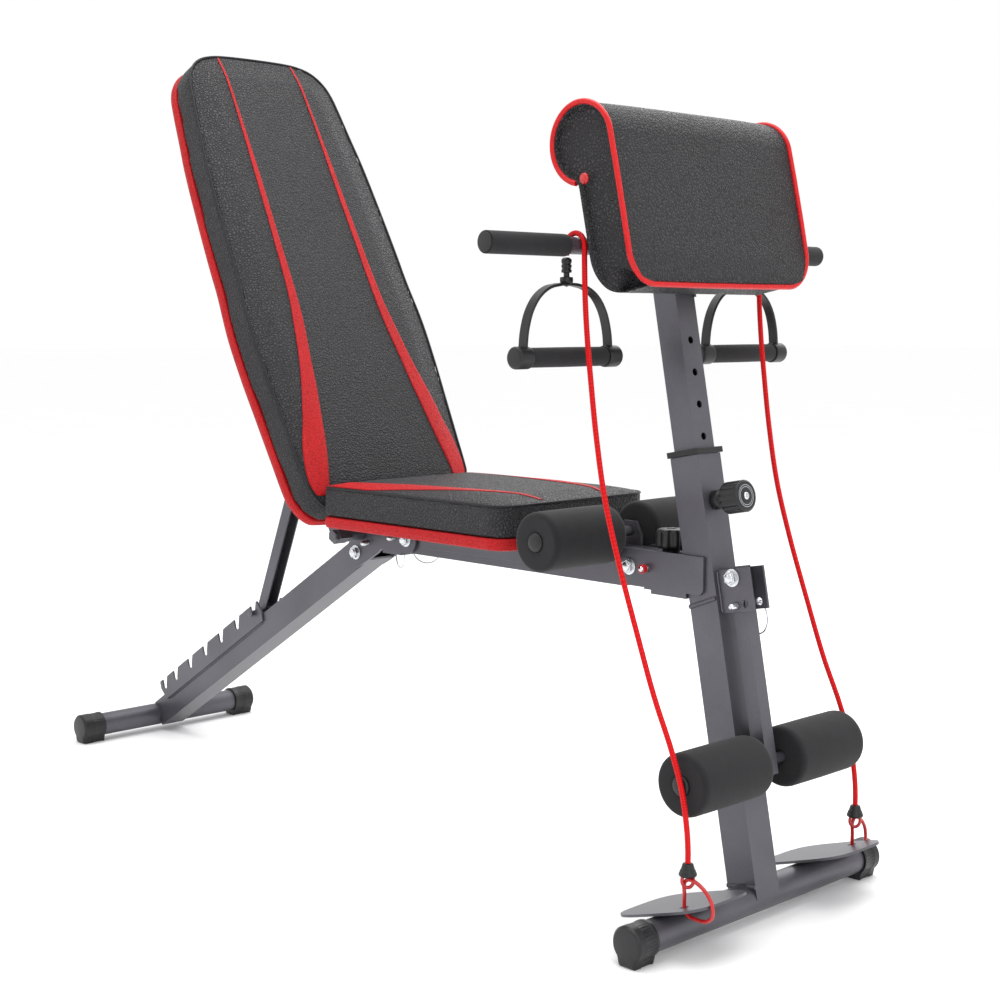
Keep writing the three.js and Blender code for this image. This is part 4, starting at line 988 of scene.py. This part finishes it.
# Bright zinc: clean reflections broken by a faint haze and tiny marks from the tumbling drum.
haze = add(tree, "ShaderNodeTexNoise", {"Scale": 1 / 0.004, "Detail": 4.0}, {"Vector": place})
dull = add(tree, "ShaderNodeMapRange", {"To Min": 0.16, "To Max": 0.36}, {"Value": haze.outputs[0]})
pale = add(tree, "ShaderNodeMix", {6: linear("#c4c8cc"), 7: linear("#e2e4e6")}, {0: haze.outputs[0]},
           data_type="RGBA")
bump = add(tree, "ShaderNodeBump", {"Strength": 0.1, "Distance": 0.0002}, {"Height": haze.outputs[0]})
feed(tree, shader, Base_Color=pale.outputs[2], Roughness=dull.outputs[0], Normal=bump.outputs[0])
for node in ("arm_pivot_bolt", "front_pivot_bolt", "beam_bolt", "leg_pivot_bolt", "strut_pivot_bolt",
             "arm_lock_pin", "front_lock_pin", "beam_lock_pin", "leg_lock_pin"):
    eased(node, zinc, 0.0005)


# (bolt, its body, half width of the plates that it clamps)
CLAMPED = (("arm_pivot_bolt", "front_post", 0.0143), ("front_pivot_bolt", "front_post", 0.0241),
           ("beam_bolt", "beam_frame", 0.0246), ("leg_pivot_bolt", "beam_frame", 0.0246))
for node, body, half in CLAMPED:
    x, z = centre_of(node)
    for hand, s in (("right", -1), ("left", 1)):
        surface(f"{node}_washer_{hand}", body, zinc, turned(rounded(
            [(0.0052, half - 0.0002), (0.0098, half - 0.0002), (0.0100, half + 0.0012),
             (0.0052, half + 0.0012), (0.0052, half - 0.0002)], 0.0003, 3), (x, 0, z), (0, s, 0), 40))
        surface(f"{node}_dome_{hand}", body, zinc, turned(rounded(
            [(0.0, half + 0.0055), (0.0060, half + 0.0055), (0.0052, half + 0.0080), (0.0, half + 0.0092)],
            0.0012, 4), (x, 0, z), (0, s, 0), 32))
# (pin, its ring's radius, how far the ring has swung round)
RINGS = (("front_lock_pin", 0.020, 0.35), ("arm_lock_pin", 0.0185, -0.25), ("beam_lock_pin", 0.021, 0.5),
         ("leg_lock_pin", 0.021, -0.4))
for pin, radius, swing in RINGS:
    x, z = centre_of(pin)
    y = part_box(pin)[1][1] - 0.0045
    a = np.linspace(0, 2 * np.pi, 72, endpoint=False)
    # The ring hangs from the hole: its middle is a radius below, swung a little round the pin.
    side_of = np.array([math.cos(swing), math.sin(swing), 0.0])
    centre = np.array([x, y, z - radius + 0.0012])
    wire = centre + radius * (np.cos(a)[:, None] * side_of + np.sin(a)[:, None] * np.array([0, 0, 1.0]))
    surface(f"{pin}_ring", pin, zinc, sweep(
        wire, ring(0.0010, 8), np.cross(side_of, [0, 0, 1.0]), closed=True), wrap=(True, True))
x, z = centre_of("front_lock_pin")
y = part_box("front_lock_pin")[0][1] + 0.004
surface("front_lock_pin_tip", "front_lock_pin", dipped, turned(rounded(
    [(0.0041, 0.0), (0.0052, 0.0), (0.0052, 0.006), (0.0041, 0.006), (0.0041, 0.0)], 0.0006, 3),
    (x, y - 0.001, z), (0, 1, 0), 28))

# ---- prop strut bar ends and board screws --------------------------------------------------------
# The strut's cross bar sticks out through the ladder's notches. Hexagon screws through the backrest frame
# and the seat rails hold the boards, each on a plain washer.
bar_at = on_leg(-0.2771, 0.0, 0.0296)
for hand, s in (("right", -1), ("left", 1)):
    surface(f"strut_bar_end_{hand}", "prop_strut", coat, turned(rounded(
        [(0, 0.0185), (0.0042, 0.0185), (0.0042, 0.0275), (0.0058, 0.0278), (0.0060, 0.0296), (0, 0.0300)],
        0.0008, 4), (bar_at[0], 0, bar_at[2]), (0, s, 0), 32))
hexagon = lambda a, h: 1 / np.cos((a + np.pi / 6) % (np.pi / 3) - np.pi / 6)
screw = rounded([(0, 0.0), (0.0058, 0.0), (0.0060, 0.0035), (0.0048, 0.0042), (0, 0.0043)], 0.0005, 3)
washer = rounded([(0, -0.0002), (0.0085, -0.0002), (0.0087, 0.0010), (0, 0.0011)], 0.0003, 3)
WASHER_THICK = 0.001
FORMS = (("washer", washer, None, 0.0), ("screw", screw, hexagon, WASHER_THICK))
# (board, its body, the left screws' places, which way their heads face)
SCREWED = (
    ("backrest", "backrest", [on_back(0.060, t, 0.0772) for t in (0.075, 0.27, 0.385, 0.475)],
     on_back(0.0, 0.0, 1.0) - on_back(0.0, 0.0, 0.0)),
    ("seat", "beam_frame", [np.array([x + CX, 0.050, 0.3928]) for x in (-0.430, -0.330, -0.230)],
     np.array([0.0, 0.0, -1.0])))
for hand, s in (("right", -1), ("left", 1)):
    for board, body, spots, out in SCREWED:
        for k, spot in enumerate(spots):
            for form, line, wave, lift in FORMS:
                surface(f"{board}_{form}_{hand}_{k + 1}", body, zinc,
                        turned(line, spot * [1, s, 1] + lift * out, out, 36, wave))

# ---- what is left of the frame -------------------------------------------------------------------
# Any node still shown gets its slot's own finish on its material slots.
BY_SLOT = {"powder_coat": coat, "zinc_plate": zinc, "black_plastic": moulded, "foam_rubber": foam,
           "grained_leather": leather, "red_vinyl_board": red_leather, "elastic_rope": sleeve}
slot_of = {row["node"]: row.get("material_slot") for row in frame["record"].get("subparts", [])}
for node, thing in frame["nodes"].items():
    if not thing.hide_render:
        slot = slot_of.get(node) or "powder_coat"
        thing.data.materials.clear()
        thing.data.materials.append(BY_SLOT[slot])
